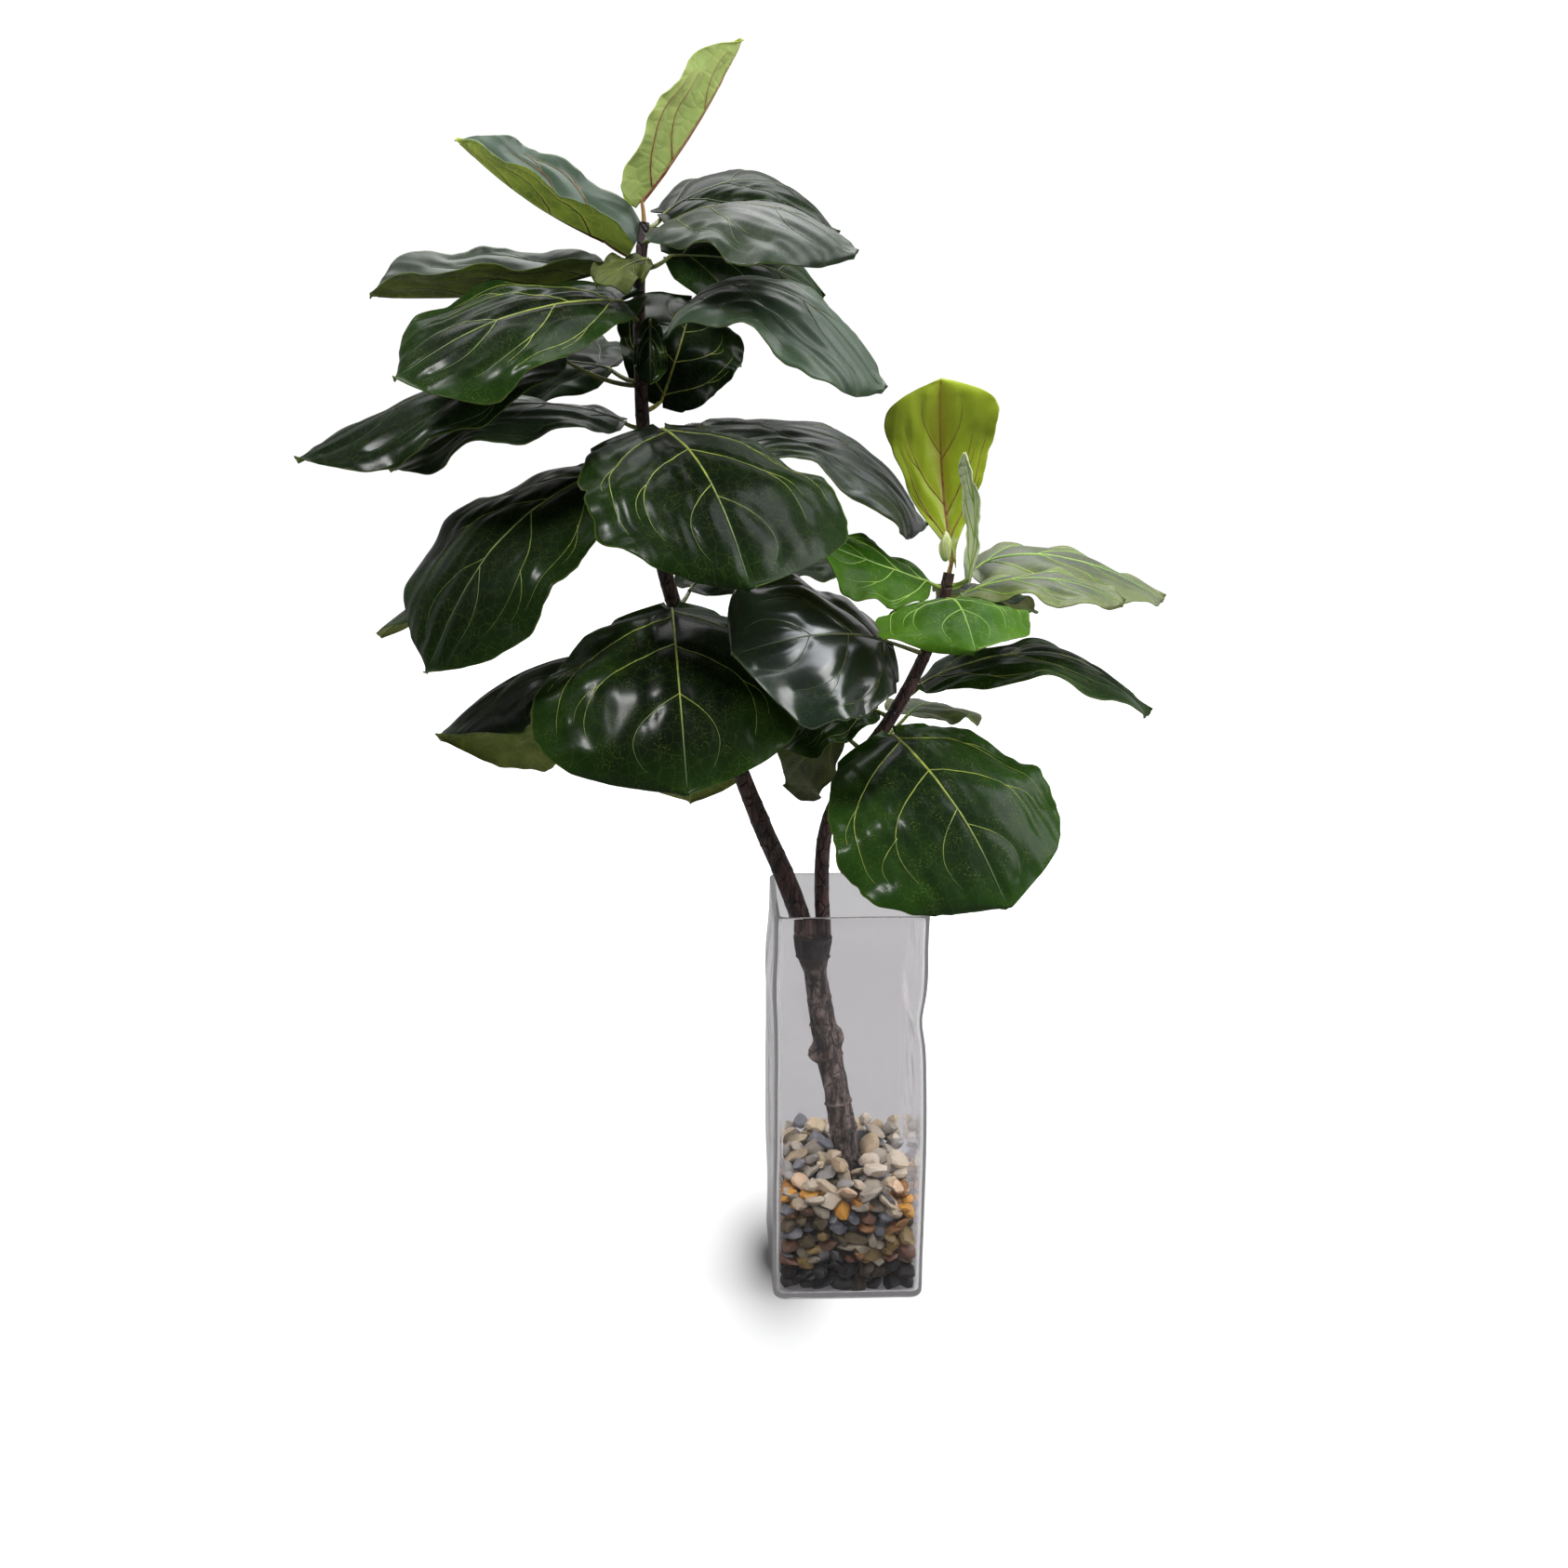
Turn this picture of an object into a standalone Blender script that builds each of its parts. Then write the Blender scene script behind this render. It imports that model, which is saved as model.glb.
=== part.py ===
# A fiddle leaf fig in a square glass vase filled with pebbles. Metres, +Z up.
# The origin is the middle of the vase's flat underside, and the front looks along -Y.
import math
import random

import bmesh
import bpy
from mathutils import Vector

COLLECTION = "fiddle_leaf_fig_in_vase"

# Vase: a hand-blown square block with slightly wavy walls.
VASE_WIDTH = 0.157
VASE_HEIGHT = 0.415
VASE_CORNER = 0.013
VASE_WAVE = 0.0022
GLASS_WALL = 0.0055
GLASS_FLOOR = 0.007
VASE_SIDE_CUTS = 4
VASE_ROWS = 20
# Dents and bulges in the glass: side in radians, height, how far it pushes out, spread up and around.
VASE_DENTS = [
    (0.0, 0.300, -0.0085, 0.020, 0.9), (0.0, 0.350, 0.0030, 0.022, 0.9), (math.pi, 0.335, 0.0045, 0.028, 0.9),
    (math.pi, 0.250, -0.0020, 0.030, 0.9), (math.pi, 0.120, 0.0030, 0.050, 0.9),
    (-1.9, 0.300, -0.0030, 0.040, 0.5), (1.4, 0.250, 0.0030, 0.050, 0.8),
]

# Pebble fill, from the glass floor up. Each bed stops just short of the glass and of its neighbours.
GAP = 0.0003
BED_INSET = 0.0010
DARK_BED_TOP = 0.032
BROWN_BED_TOP = 0.100
LIGHT_BED_TOP = 0.114
TRUNK_HOLE_RADIUS = 0.0185
TRUNK_HOLE_CENTRE = (0.010, 0.010)

# Stems: the woody lower trunk, and the two stems that stand in its top.
TUBE_STEP = 0.016
TRUNK = {
    "points": [
        (0.011, 0.010, GLASS_FLOOR + GAP), (0.011, 0.010, 0.060), (0.008, 0.010, 0.105),
        (-0.003, 0.004, 0.175), (-0.018, 0.000, 0.250), (-0.027, 0.000, 0.300), (-0.031, 0.000, 0.332),
        (-0.034, 0.000, 0.354), (-0.034, 0.000, 0.370),
    ],
    "radii": [0.0155, 0.0155, 0.0150, 0.0140, 0.0136, 0.0128, 0.0125, 0.0180, 0.0205],
}
TALL_STEM = {
    "points": [
        (-0.0440, 0.000, 0.3704), (-0.044, 0.000, 0.378), (-0.062, 0.000, 0.430), (-0.086, 0.000, 0.485),
        (-0.110, 0.000, 0.545), (-0.145, 0.008, 0.630), (-0.178, 0.008, 0.720), (-0.198, 0.002, 0.805),
        (-0.208, 0.000, 0.905), (-0.210, 0.000, 0.970), (-0.210, 0.000, 1.040), (-0.205, 0.000, 1.095),
    ],
    "radii": [0.0105, 0.0108, 0.0108, 0.0100, 0.0090, 0.0085, 0.0080, 0.0075, 0.0070, 0.0065, 0.0060, 0.0055],
}
SHORT_STEM = {
    "points": [
        (-0.0230, 0.000, 0.3704), (-0.023, 0.000, 0.378), (-0.025, 0.000, 0.425), (-0.024, -0.008, 0.475),
        (-0.015, -0.018, 0.515), (0.010, -0.028, 0.565), (0.040, -0.030, 0.608), (0.070, -0.030, 0.665),
        (0.088, -0.030, 0.715), (0.096, -0.030, 0.755),
    ],
    "radii": [0.0078, 0.0078, 0.0075, 0.0072, 0.0070, 0.0068, 0.0066, 0.0064, 0.0062, 0.0058],
}

# Leaves: a blade runs from base to tip, and its upper side looks along face.
BLADE_ROWS = 9
BLADE_COLUMNS = 4
PETIOLE_ROWS = 2
BLADE_THICKNESS = 0.0012
PETIOLE_THICKNESS = 0.0040
PETIOLE_HALF_WIDTH = 0.0022
PETIOLE_GAP = 0.0008
PETIOLE_RISE = 0.35
# Half width along the blade, as a share of the widest place: a round base, a slight waist, a broad end.
OUTLINE = [
    (0.00, 0.05), (0.03, 0.30), (0.08, 0.50), (0.16, 0.66), (0.28, 0.78), (0.42, 0.90), (0.56, 0.98),
    (0.68, 1.00), (0.80, 0.94), (0.90, 0.74), (0.96, 0.46), (0.985, 0.24), (1.00, 0.015),
]


def leaf(name, base, tip, width, face, arch, **shape):
    """One leaf: arch lifts its middle, fold and curl bend its two halves in degrees, ripple waves its edge."""
    values = dict(fold=0, curl=-25, ripple=0.006, lobe=0.05, peak=1.0, belly=1.0, skew=0.0, lean=0.0,
                  young=False, end=False)
    values.update(shape, name=name, base=base, tip=tip, width=width, face=face, arch=arch)
    return values


TALL_LEAVES = [
    leaf("tall_leaf_01", (-0.207, 0.000, 1.115), (-0.112, 0.010, 1.263), 0.086, (-0.8, 0.1, 0.6), -0.006,
         fold=62, curl=-10, ripple=0.003, belly=0.6, young=True, end=True),
    leaf("tall_leaf_02", (-0.243, -0.020, 1.075), (-0.375, -0.040, 1.160), 0.125, (0.25, -0.42, 1.0), -0.008,
         fold=42, curl=-14, ripple=0.003, lobe=0.18, belly=0.42, young=True),
    leaf("tall_leaf_03", (-0.185, 0.028, 1.108), (-0.010, 0.098, 1.100), 0.165, (0.15, -0.48, 1.0), 0.045,
         curl=-30, belly=0.85, skew=-0.2),
    leaf("tall_leaf_04", (-0.188, -0.026, 1.086), (-0.015, -0.108, 1.052), 0.165, (0.1, -0.36, 1.0), 0.032,
         curl=-42, skew=0.18),
    leaf("tall_leaf_05", (-0.180, 0.045, 1.070), (-0.018, 0.173, 1.044), 0.160, (0.1, -0.9, 0.6), 0.020),
    leaf("tall_leaf_06", (-0.250, 0.022, 1.052), (-0.460, -0.028, 1.022), 0.135, (0.0, -0.3, 1.0), -0.010,
         fold=38, curl=-14, ripple=0.004),
    leaf("tall_leaf_07", (-0.225, -0.040, 1.016), (-0.417, -0.142, 0.940), 0.150, (-0.1, -0.75, 0.75), 0.025,
         lobe=0.12, lean=0.28),
    leaf("tall_leaf_08", (-0.180, -0.008, 0.996), (0.020, -0.050, 0.935), 0.165, (0.0, -0.45, 1.0), 0.066,
         curl=-34, peak=0.8),
    leaf("tall_leaf_09", (-0.190, 0.020, 0.925), (-0.160, 0.100, 1.030), 0.145, (0.3, -0.8, 0.5), 0.020),
    leaf("tall_leaf_10", (-0.243, 0.034, 0.958), (-0.380, 0.205, 0.950), 0.150, (0.0, -0.8, 0.6), 0.020),
    leaf("tall_leaf_11", (-0.295, -0.010, 0.970), (-0.525, -0.070, 0.870), 0.140, (0.0, -0.35, 1.0), 0.010,
         fold=-10, belly=0.9),
    leaf("tall_leaf_12", (-0.230, -0.005, 0.905), (-0.460, 0.020, 0.860), 0.138, (0.0, -0.3, 1.0), 0.036,
         ripple=0.008, lobe=0.03, skew=-0.2),
    leaf("tall_leaf_13", (-0.188, -0.036, 0.896), (-0.110, -0.200, 0.760), 0.250, (0.2, -0.8, 0.7), 0.030,
         belly=0.9, skew=-0.07, lean=0.35),
    leaf("tall_leaf_14", (-0.180, 0.015, 0.900), (0.075, 0.035, 0.800), 0.200, (0.0, -0.3, 1.0), 0.050,
         lobe=0.02, peak=1.3, belly=1.7),
    leaf("tall_leaf_15", (-0.245, -0.010, 0.855), (-0.405, -0.110, 0.675), 0.200, (-0.5, -0.7, 0.5), 0.040,
         belly=0.85, skew=0.1),
    leaf("tall_leaf_16", (-0.210, 0.050, 0.805), (-0.505, 0.159, 0.674), 0.150, (0.0, -0.1, 1.0), 0.030),
    leaf("tall_leaf_17", (-0.160, 0.050, 0.735), (-0.013, 0.207, 0.765), 0.150, (0.0, -0.4, 1.0), 0.020),
    leaf("tall_leaf_18", (-0.180, -0.030, 0.720), (-0.165, -0.170, 0.570), 0.265, (0.0, -0.9, 0.6), 0.030,
         belly=0.9, skew=0.12),
    leaf("tall_leaf_19", (-0.210, 0.010, 0.670), (-0.410, -0.030, 0.595), 0.220, (0.0, 0.5, 0.87), 0.030,
         fold=-35),
    leaf("tall_leaf_20", (-0.175, 0.050, 0.675), (-0.165, 0.181, 0.475), 0.170, (0.0, 0.8, 0.6), 0.030),
    leaf("tall_leaf_21", (-0.201, -0.030, 1.056), (-0.246, -0.072, 1.028), 0.046, (0.0, -0.8, 0.6), 0.006),
    leaf("tall_leaf_22", (-0.199, -0.024, 1.000), (-0.199, -0.040, 0.940), 0.034, (0.0, -1.0, 0.2), 0.004),
]
SHORT_LEAVES = [
    leaf("short_leaf_01", (0.099, -0.030, 0.768), (0.085, -0.020, 0.940), 0.118, (0.05, -1.0, 0.0), -0.020,
         fold=20, ripple=0.003, belly=2.2, young=True, end=True),
    leaf("short_leaf_02", (0.115, -0.035, 0.750), (0.105, -0.050, 0.870), 0.026, (-0.85, -0.5, 0.0), -0.010,
         fold=30, ripple=0.002, young=True),
    leaf("short_leaf_03", (0.076, -0.030, 0.746), (-0.040, -0.080, 0.790), 0.110, (0.0, -0.6, 0.8), 0.000,
         lobe=0.02, young=True),
    leaf("short_leaf_04", (0.087, -0.050, 0.728), (0.095, -0.170, 0.697), 0.150, (0.0, -0.6, 0.8), 0.020,
         lobe=0.02, belly=0.8, skew=0.1, young=True),
    leaf("short_leaf_05", (0.130, 0.000, 0.757), (0.325, 0.020, 0.725), 0.110, (0.0, -0.35, 1.0), 0.027,
         peak=0.75, belly=0.75, young=True),
    leaf("short_leaf_06", (0.112, -0.045, 0.737), (0.245, -0.105, 0.733), 0.080, (0.0, -0.3, 1.0), 0.020,
         young=True),
    leaf("short_leaf_07", (0.120, 0.010, 0.730), (0.190, 0.190, 0.690), 0.120, (0.0, -0.3, 1.0), 0.020),
    leaf("short_leaf_08", (0.075, -0.010, 0.640), (0.315, 0.020, 0.605), 0.120, (0.0, -0.25, 1.0), 0.050),
    leaf("short_leaf_09", (0.030, -0.050, 0.690), (-0.120, -0.140, 0.690), 0.185, (-0.2, -0.85, 0.6), 0.020,
         belly=0.8),
    leaf("short_leaf_10", (0.070, 0.040, 0.600), (0.130, 0.150, 0.585), 0.110, (0.0, -0.2, 1.0), 0.010),
    leaf("short_leaf_11", (0.040, -0.050, 0.595), (0.130, -0.170, 0.460), 0.235, (0.1, -0.9, 0.6), 0.030,
         belly=0.85, skew=0.08, lean=0.15),
    leaf("short_leaf_12", (0.025, -0.020, 0.615), (-0.075, -0.030, 0.585), 0.090, (0.0, -0.4, 0.9), 0.015),
    leaf("short_leaf_13", (-0.010, 0.010, 0.590), (-0.055, 0.110, 0.510), 0.085, (0.0, -0.9, 0.5), 0.010),
]

# The unopened bud beside the short stem's top.
BUD = {"centre": (0.088, -0.052, 0.783), "length": 0.030, "radius": 0.0065}

# Loose pebbles on the top bed: where each one lies, and its half sizes.
TOP_PEBBLES = [
    (-0.052, -0.050, 0.014, 0.011, 0.008), (-0.020, -0.055, 0.012, 0.010, 0.007),
    (0.016, -0.052, 0.015, 0.011, 0.008), (0.052, -0.050, 0.013, 0.012, 0.008),
    (-0.055, -0.015, 0.011, 0.013, 0.008), (-0.024, -0.020, 0.012, 0.010, 0.007),
    (0.050, -0.012, 0.014, 0.011, 0.009), (-0.050, 0.022, 0.013, 0.012, 0.009),
    (-0.018, 0.030, 0.012, 0.010, 0.009), (0.052, 0.028, 0.012, 0.012, 0.010),
    (-0.040, 0.056, 0.014, 0.010, 0.010), (0.004, 0.056, 0.015, 0.010, 0.011),
    (0.045, 0.058, 0.014, 0.010, 0.012),
]

MATERIALS = {
    "smoked_glass": ((0.62, 0.61, 0.62), 0.05, 0.0, 0.85),
    "dark_pebbles": ((0.03, 0.03, 0.035), 0.35, 0.0, 0.0),
    "brown_pebbles": ((0.22, 0.12, 0.06), 0.35, 0.0, 0.0),
    "light_pebbles": ((0.55, 0.47, 0.40), 0.45, 0.0, 0.0),
    "trunk_bark": ((0.10, 0.08, 0.075), 0.80, 0.0, 0.0),
    "stem_bark": ((0.035, 0.018, 0.018), 0.65, 0.0, 0.0),
    "old_leaf": ((0.022, 0.055, 0.022), 0.35, 0.0, 0.0),
    "young_leaf": ((0.14, 0.25, 0.035), 0.40, 0.0, 0.0),
}


def clear_scene():
    for obj in list(bpy.data.objects):
        bpy.data.objects.remove(obj, do_unlink=True)


def make_collections():
    parts = bpy.data.collections.new(COLLECTION)
    cutters = bpy.data.collections.new("cutters")
    for group in (parts, cutters):
        bpy.context.scene.collection.children.link(group)
    return parts, cutters


def make_material(name):
    colour, roughness, metallic, transmission = MATERIALS[name]
    material = bpy.data.materials.new(name)
    material.use_nodes = True
    shader = material.node_tree.nodes["Principled BSDF"]
    shader.inputs["Base Color"].default_value = (*colour, 1.0)
    shader.inputs["Roughness"].default_value = roughness
    shader.inputs["Metallic"].default_value = metallic
    shader.inputs["Transmission Weight"].default_value = transmission
    return material


def add_object(name, data, collection, material=None, smooth=True):
    obj = bpy.data.objects.new(name, data)
    collection.objects.link(obj)
    if material is not None:
        data.materials.append(material)
    if smooth and isinstance(data, bpy.types.Mesh):
        data.shade_smooth()
    return obj


def as_cutter(obj):
    obj.hide_render = True
    obj.display_type = "WIRE"
    return obj


def cut(obj, cutter):
    modifier = obj.modifiers.new("cut_" + cutter.name, "BOOLEAN")
    modifier.operation = "DIFFERENCE"
    modifier.solver = "EXACT"
    modifier.object = cutter


def wave(x, y, z):
    """The glass walls' gentle unevenness at a place, in metres outwards. It fades out at the foot."""
    height = z / VASE_HEIGHT
    side = math.atan2(y, x)
    swell = math.sin(2.0 * math.pi * height * 1.1 + 1.3 * math.sin(side)) * math.cos(side + 0.8 * height)
    push = VASE_WAVE * swell
    for turn, level, depth, spread, width in VASE_DENTS:
        off = math.remainder(side - turn, 2.0 * math.pi)
        push += depth * math.exp(-((z - level) / spread) ** 2 - (off / width) ** 2)
    return push * min(1.0, height * 6.0)


def wavy_block(name, half_width, corner, low, high, rows, side_cuts, with_wave=True):
    """A square column with round vertical edges, whose walls follow the glass."""
    mesh = bpy.data.meshes.new(name)
    bm = bmesh.new()
    bmesh.ops.create_cube(bm, size=1.0)
    for vert in bm.verts:
        vert.co.x *= 2.0 * half_width
        vert.co.y *= 2.0 * half_width
        vert.co.z = low + (vert.co.z + 0.5) * (high - low)
    upright = [e for e in bm.edges if abs(e.verts[0].co.z - e.verts[1].co.z) > 1e-6]
    bmesh.ops.bevel(bm, geom=upright, offset=corner, segments=3, profile=0.5, affect="EDGES")
    for row in range(1, rows):
        height = low + (high - low) * row / rows
        bmesh.ops.bisect_plane(bm, geom=bm.verts[:] + bm.edges[:] + bm.faces[:], plane_co=(0, 0, height),
                               plane_no=(0, 0, 1))
    for row in range(1, side_cuts):
        place = (half_width - corner) * (2.0 * row / side_cuts - 1.0)
        for normal in ((1, 0, 0), (0, 1, 0)):
            bmesh.ops.bisect_plane(bm, geom=bm.verts[:] + bm.edges[:] + bm.faces[:],
                                   plane_co=[place * n for n in normal], plane_no=normal)
    for vert in bm.verts:
        reach = math.hypot(vert.co.x, vert.co.y)
        if with_wave and max(abs(vert.co.x), abs(vert.co.y)) > half_width - corner:
            push = wave(*vert.co) / reach
            vert.co.x *= 1.0 + push
            vert.co.y *= 1.0 + push
    bm.to_mesh(mesh)
    bm.free()
    return mesh


def make_vase(parts, cutters):
    half = VASE_WIDTH / 2
    outer = wavy_block("vase", half, VASE_CORNER, 0.0, VASE_HEIGHT, VASE_ROWS, VASE_SIDE_CUTS)
    vase = add_object("vase", outer, parts, make_material("smoked_glass"))
    inner = wavy_block("vase_hollow", half - GLASS_WALL, VASE_CORNER - GLASS_WALL / 2, GLASS_FLOOR,
                       VASE_HEIGHT + 0.02, VASE_ROWS, VASE_SIDE_CUTS)
    cut(vase, as_cutter(add_object("vase_hollow", inner, cutters)))


def make_pebble_beds(parts, cutters):
    """The fill, as one solid for each colour of pebble, with a hole for the trunk."""
    hole = bpy.data.meshes.new("trunk_hole")
    bm = bmesh.new()
    bmesh.ops.create_cone(bm, cap_ends=True, segments=20, radius1=TRUNK_HOLE_RADIUS, radius2=TRUNK_HOLE_RADIUS,
                          depth=0.4)
    bmesh.ops.translate(bm, verts=bm.verts, vec=(*TRUNK_HOLE_CENTRE, 0.05))
    bm.to_mesh(hole)
    bm.free()
    cutter = as_cutter(add_object("trunk_hole", hole, cutters))
    half = VASE_WIDTH / 2 - GLASS_WALL - BED_INSET - VASE_WAVE
    beds = [
        ("dark_pebble_bed", GLASS_FLOOR + GAP, DARK_BED_TOP, "dark_pebbles"),
        ("brown_pebble_bed", DARK_BED_TOP + GAP, BROWN_BED_TOP, "brown_pebbles"),
        ("light_pebble_bed", BROWN_BED_TOP + GAP, LIGHT_BED_TOP, "light_pebbles"),
    ]
    for name, low, high, material in beds:
        mesh = wavy_block(name, half, VASE_CORNER - GLASS_WALL / 2, low, high, 1, 1, with_wave=False)
        cut(add_object(name, mesh, parts, make_material(material)), cutter)


def make_top_pebbles(parts):
    """Loose pebbles: flattened balls with a seeded wobble, resting on the light bed."""
    chance = random.Random(7)
    stone = make_material("light_pebbles")
    for number, (x, y, half_x, half_y, half_z) in enumerate(TOP_PEBBLES, 1):
        name = f"top_pebble_{number:02d}"
        mesh = bpy.data.meshes.new(name)
        bm = bmesh.new()
        bmesh.ops.create_icosphere(bm, subdivisions=1, radius=1.0)
        for vert in bm.verts:
            vert.co *= chance.uniform(0.88, 1.0)
        lowest = min(vert.co.z for vert in bm.verts)
        for vert in bm.verts:
            vert.co.x *= half_x
            vert.co.y *= half_y
            vert.co.z = (vert.co.z - lowest) * half_z
        bm.to_mesh(mesh)
        bm.free()
        pebble = add_object(name, mesh, parts, stone)
        pebble.location = (x, y, LIGHT_BED_TOP + GAP)


def smooth_path(points, step):
    """Places along a Catmull-Rom curve through the points, about a step apart, each with its share of the way."""
    knots = [Vector(p) for p in points]
    knots = [2 * knots[0] - knots[1], *knots, 2 * knots[-1] - knots[-2]]
    path = []
    for index in range(1, len(knots) - 2):
        before, start, end, after = knots[index - 1:index + 3]
        count = max(1, round((end - start).length / step))
        for part in range(count):
            t = part / count
            place = 0.5 * (2 * start + (end - before) * t + (2 * before - 5 * start + 4 * end - after) * t ** 2
                           + (3 * start - before - 3 * end + after) * t ** 3)
            path.append((place, index - 1 + t))
    path.append((knots[-2], len(points) - 1.0))
    return path


def at_share(values, share):
    """The value at a fractional place in a list."""
    index = min(int(share), len(values) - 2)
    return values[index] + (values[index + 1] - values[index]) * (share - index)


def make_stem(name, stem, parts, material):
    path = smooth_path(stem["points"], TUBE_STEP)
    curve = bpy.data.curves.new(name, "CURVE")
    curve.dimensions = "3D"
    curve.bevel_depth = 1.0
    curve.bevel_resolution = 2
    curve.use_fill_caps = True
    spline = curve.splines.new("POLY")
    spline.points.add(len(path) - 1)
    for point, (place, share) in zip(spline.points, path):
        point.co = (*place, 1.0)
        point.radius = at_share(stem["radii"], share)
    return add_object(name, curve, parts, material)


def stem_at(stem, height):
    """Centre, direction and radius of a stem at a height."""
    path = smooth_path(stem["points"], TUBE_STEP)
    height = min(max(height, path[0][0].z), path[-1][0].z - 0.002)
    for (low, low_share), (high, high_share) in zip(path, path[1:]):
        if low.z <= height <= high.z:
            t = (height - low.z) / (high.z - low.z)
            radius = at_share(stem["radii"], low_share + (high_share - low_share) * t)
            return low.lerp(high, t), (high - low).normalized(), radius
    raise ValueError("no stem at this height")


def outline_at(u):
    """Half width of a blade at u, smoothed between the outline's points."""
    u = min(max(u, 0.0), 1.0)
    index = max(i for i, (place, _) in enumerate(OUTLINE[:-1]) if place <= u)
    slopes = [(OUTLINE[i + 1][1] - OUTLINE[i][1]) / (OUTLINE[i + 1][0] - OUTLINE[i][0]) for i in range(len(OUTLINE) - 1)]

    def tangent(i):
        if i == 0 or i == len(OUTLINE) - 1:
            return slopes[0] if i == 0 else slopes[-1]
        before, after = slopes[i - 1], slopes[i]
        return 0.0 if before * after <= 0 else 2 * before * after / (before + after)

    (start, low), (end, high) = OUTLINE[index], OUTLINE[index + 1]
    span = end - start
    t = (u - start) / span
    return ((2 * t ** 3 - 3 * t ** 2 + 1) * low + (t ** 3 - 2 * t ** 2 + t) * span * tangent(index)
            + (3 * t ** 2 - 2 * t ** 3) * high + (t ** 3 - t ** 2) * span * tangent(index + 1))


def blade_point(item, u, v):
    """A place on a blade: u runs from base to tip, v from one edge at -1 to the other at 1."""
    base, tip = Vector(item["base"]), Vector(item["tip"])
    chord = tip - base
    along = chord.normalized()
    face = Vector(item["face"])
    up = (face - along * face.dot(along)).normalized()
    side = along.cross(up)
    edge, sign = abs(v), math.copysign(1.0, v)
    place = u - item["lobe"] * edge ** 2 * (1.0 - u) ** 5

    def lift(at):
        share = min(max(at, 0.0), 1.0) ** item["peak"]
        return item["arch"] * 4.0 * share * (1.0 - share)

    slope = (lift(place + 0.001) - lift(place - 0.001)) / (0.002 * chord.length)
    normal = (up - along * slope).normalized()
    belly = item["belly"] * (1.0 - item["lean"] * sign)
    half = item["width"] / 2 * outline_at(u ** belly) * (1.0 + item["skew"] * sign)
    fold, curl = math.radians(item["fold"]), math.radians(item["curl"])
    across = (math.sin(fold + curl * edge) - math.sin(fold)) / curl
    lifted = (math.cos(fold) - math.cos(fold + curl * edge)) / curl
    ripple = item["ripple"] * edge ** 2 * math.sin(5.0 * math.pi * u + 0.9 * sign) * min(u * 5.0, 1.0)
    middle = base + chord * place + up * lift(place)
    return middle + side * (sign * across * half) + normal * (lifted * half + ripple)


def petiole_frame(item, stem):
    """Where the leaf's stalk leaves the stem, its direction there, and its width direction."""
    base = Vector(item["base"])
    if item["end"]:
        path = smooth_path(stem["points"], TUBE_STEP)
        direction = (path[-1][0] - path[-2][0]).normalized()
        start = path[-1][0] + direction * PETIOLE_GAP
        sideways = (blade_point(item, 0.1, 1.0) - blade_point(item, 0.1, -1.0))
        sideways = (sideways - direction * sideways.dot(direction)).normalized()
        return start, direction, sideways
    centre, direction, radius = stem_at(stem, base.z)
    reach = math.hypot(base.x - centre.x, base.y - centre.y)
    centre, direction, radius = stem_at(stem, base.z - PETIOLE_RISE * reach)
    outwards = base - centre
    outwards = (outwards - direction * outwards.dot(direction)).normalized()
    return centre + outwards * (radius + PETIOLE_GAP), outwards, direction.cross(outwards)


def make_leaf(item, stem, parts, material):
    """The stalk and the blade as one open sheet, thickened by Solidify: thick along the stalk, thin in the blade."""
    rows = PETIOLE_ROWS + BLADE_ROWS
    bm = bmesh.new()
    bmesh.ops.create_grid(bm, x_segments=rows, y_segments=BLADE_COLUMNS, size=0.5)
    start, outwards, sideways = petiole_frame(item, stem)
    neck = blade_point(item, 0.0, 0.0)
    neck_side = (blade_point(item, 0.0, 1.0) - blade_point(item, 0.0, -1.0)).normalized()
    if sideways.dot(neck_side) < 0:
        sideways = -sideways
    reach = (neck - start).length
    thick = bm.verts.layers.deform.verify()
    for vert in bm.verts:
        row = round((vert.co.x + 0.5) * rows)
        v = 2.0 * vert.co.y
        if row >= PETIOLE_ROWS:
            u = (row - PETIOLE_ROWS) / BLADE_ROWS
            # Rows crowd a little towards both ends, where the outline turns fastest.
            u = u - 0.11 * math.sin(2.0 * math.pi * u)
            vert.co = blade_point(item, u, v)
            vert[thick][0] = 0.6 if row == PETIOLE_ROWS else 0.0
            continue
        t = row / PETIOLE_ROWS
        bend = start + outwards * reach * 0.4
        middle = start.lerp(bend, t).lerp(bend.lerp(neck, t), t)
        width = sideways.lerp(neck_side, t).normalized()
        vert.co = middle + width * v * PETIOLE_HALF_WIDTH
        vert[thick][0] = 1.0
    mesh = bpy.data.meshes.new(item["name"])
    bm.to_mesh(mesh)
    bm.free()
    obj = add_object(item["name"], mesh, parts, material)
    obj.vertex_groups.new(name="stalk")
    solid = obj.modifiers.new("thickness", "SOLIDIFY")
    solid.thickness = PETIOLE_THICKNESS
    solid.offset = 0.0
    solid.vertex_group = "stalk"
    solid.thickness_vertex_group = BLADE_THICKNESS / PETIOLE_THICKNESS
    return obj


def make_bud(parts, material):
    """An unopened leaf: a small pointed ball."""
    mesh = bpy.data.meshes.new("bud")
    bm = bmesh.new()
    bmesh.ops.create_uvsphere(bm, u_segments=12, v_segments=8, radius=1.0)
    for vert in bm.verts:
        height = vert.co.z
        narrow = BUD["radius"] * (1.0 - 0.35 * max(height, 0.0))
        vert.co.x *= narrow
        vert.co.y *= narrow
        vert.co.z = height * BUD["length"] / 2
    bm.to_mesh(mesh)
    bm.free()
    bud = add_object("bud", mesh, parts, material)
    bud.location = BUD["centre"]


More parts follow.
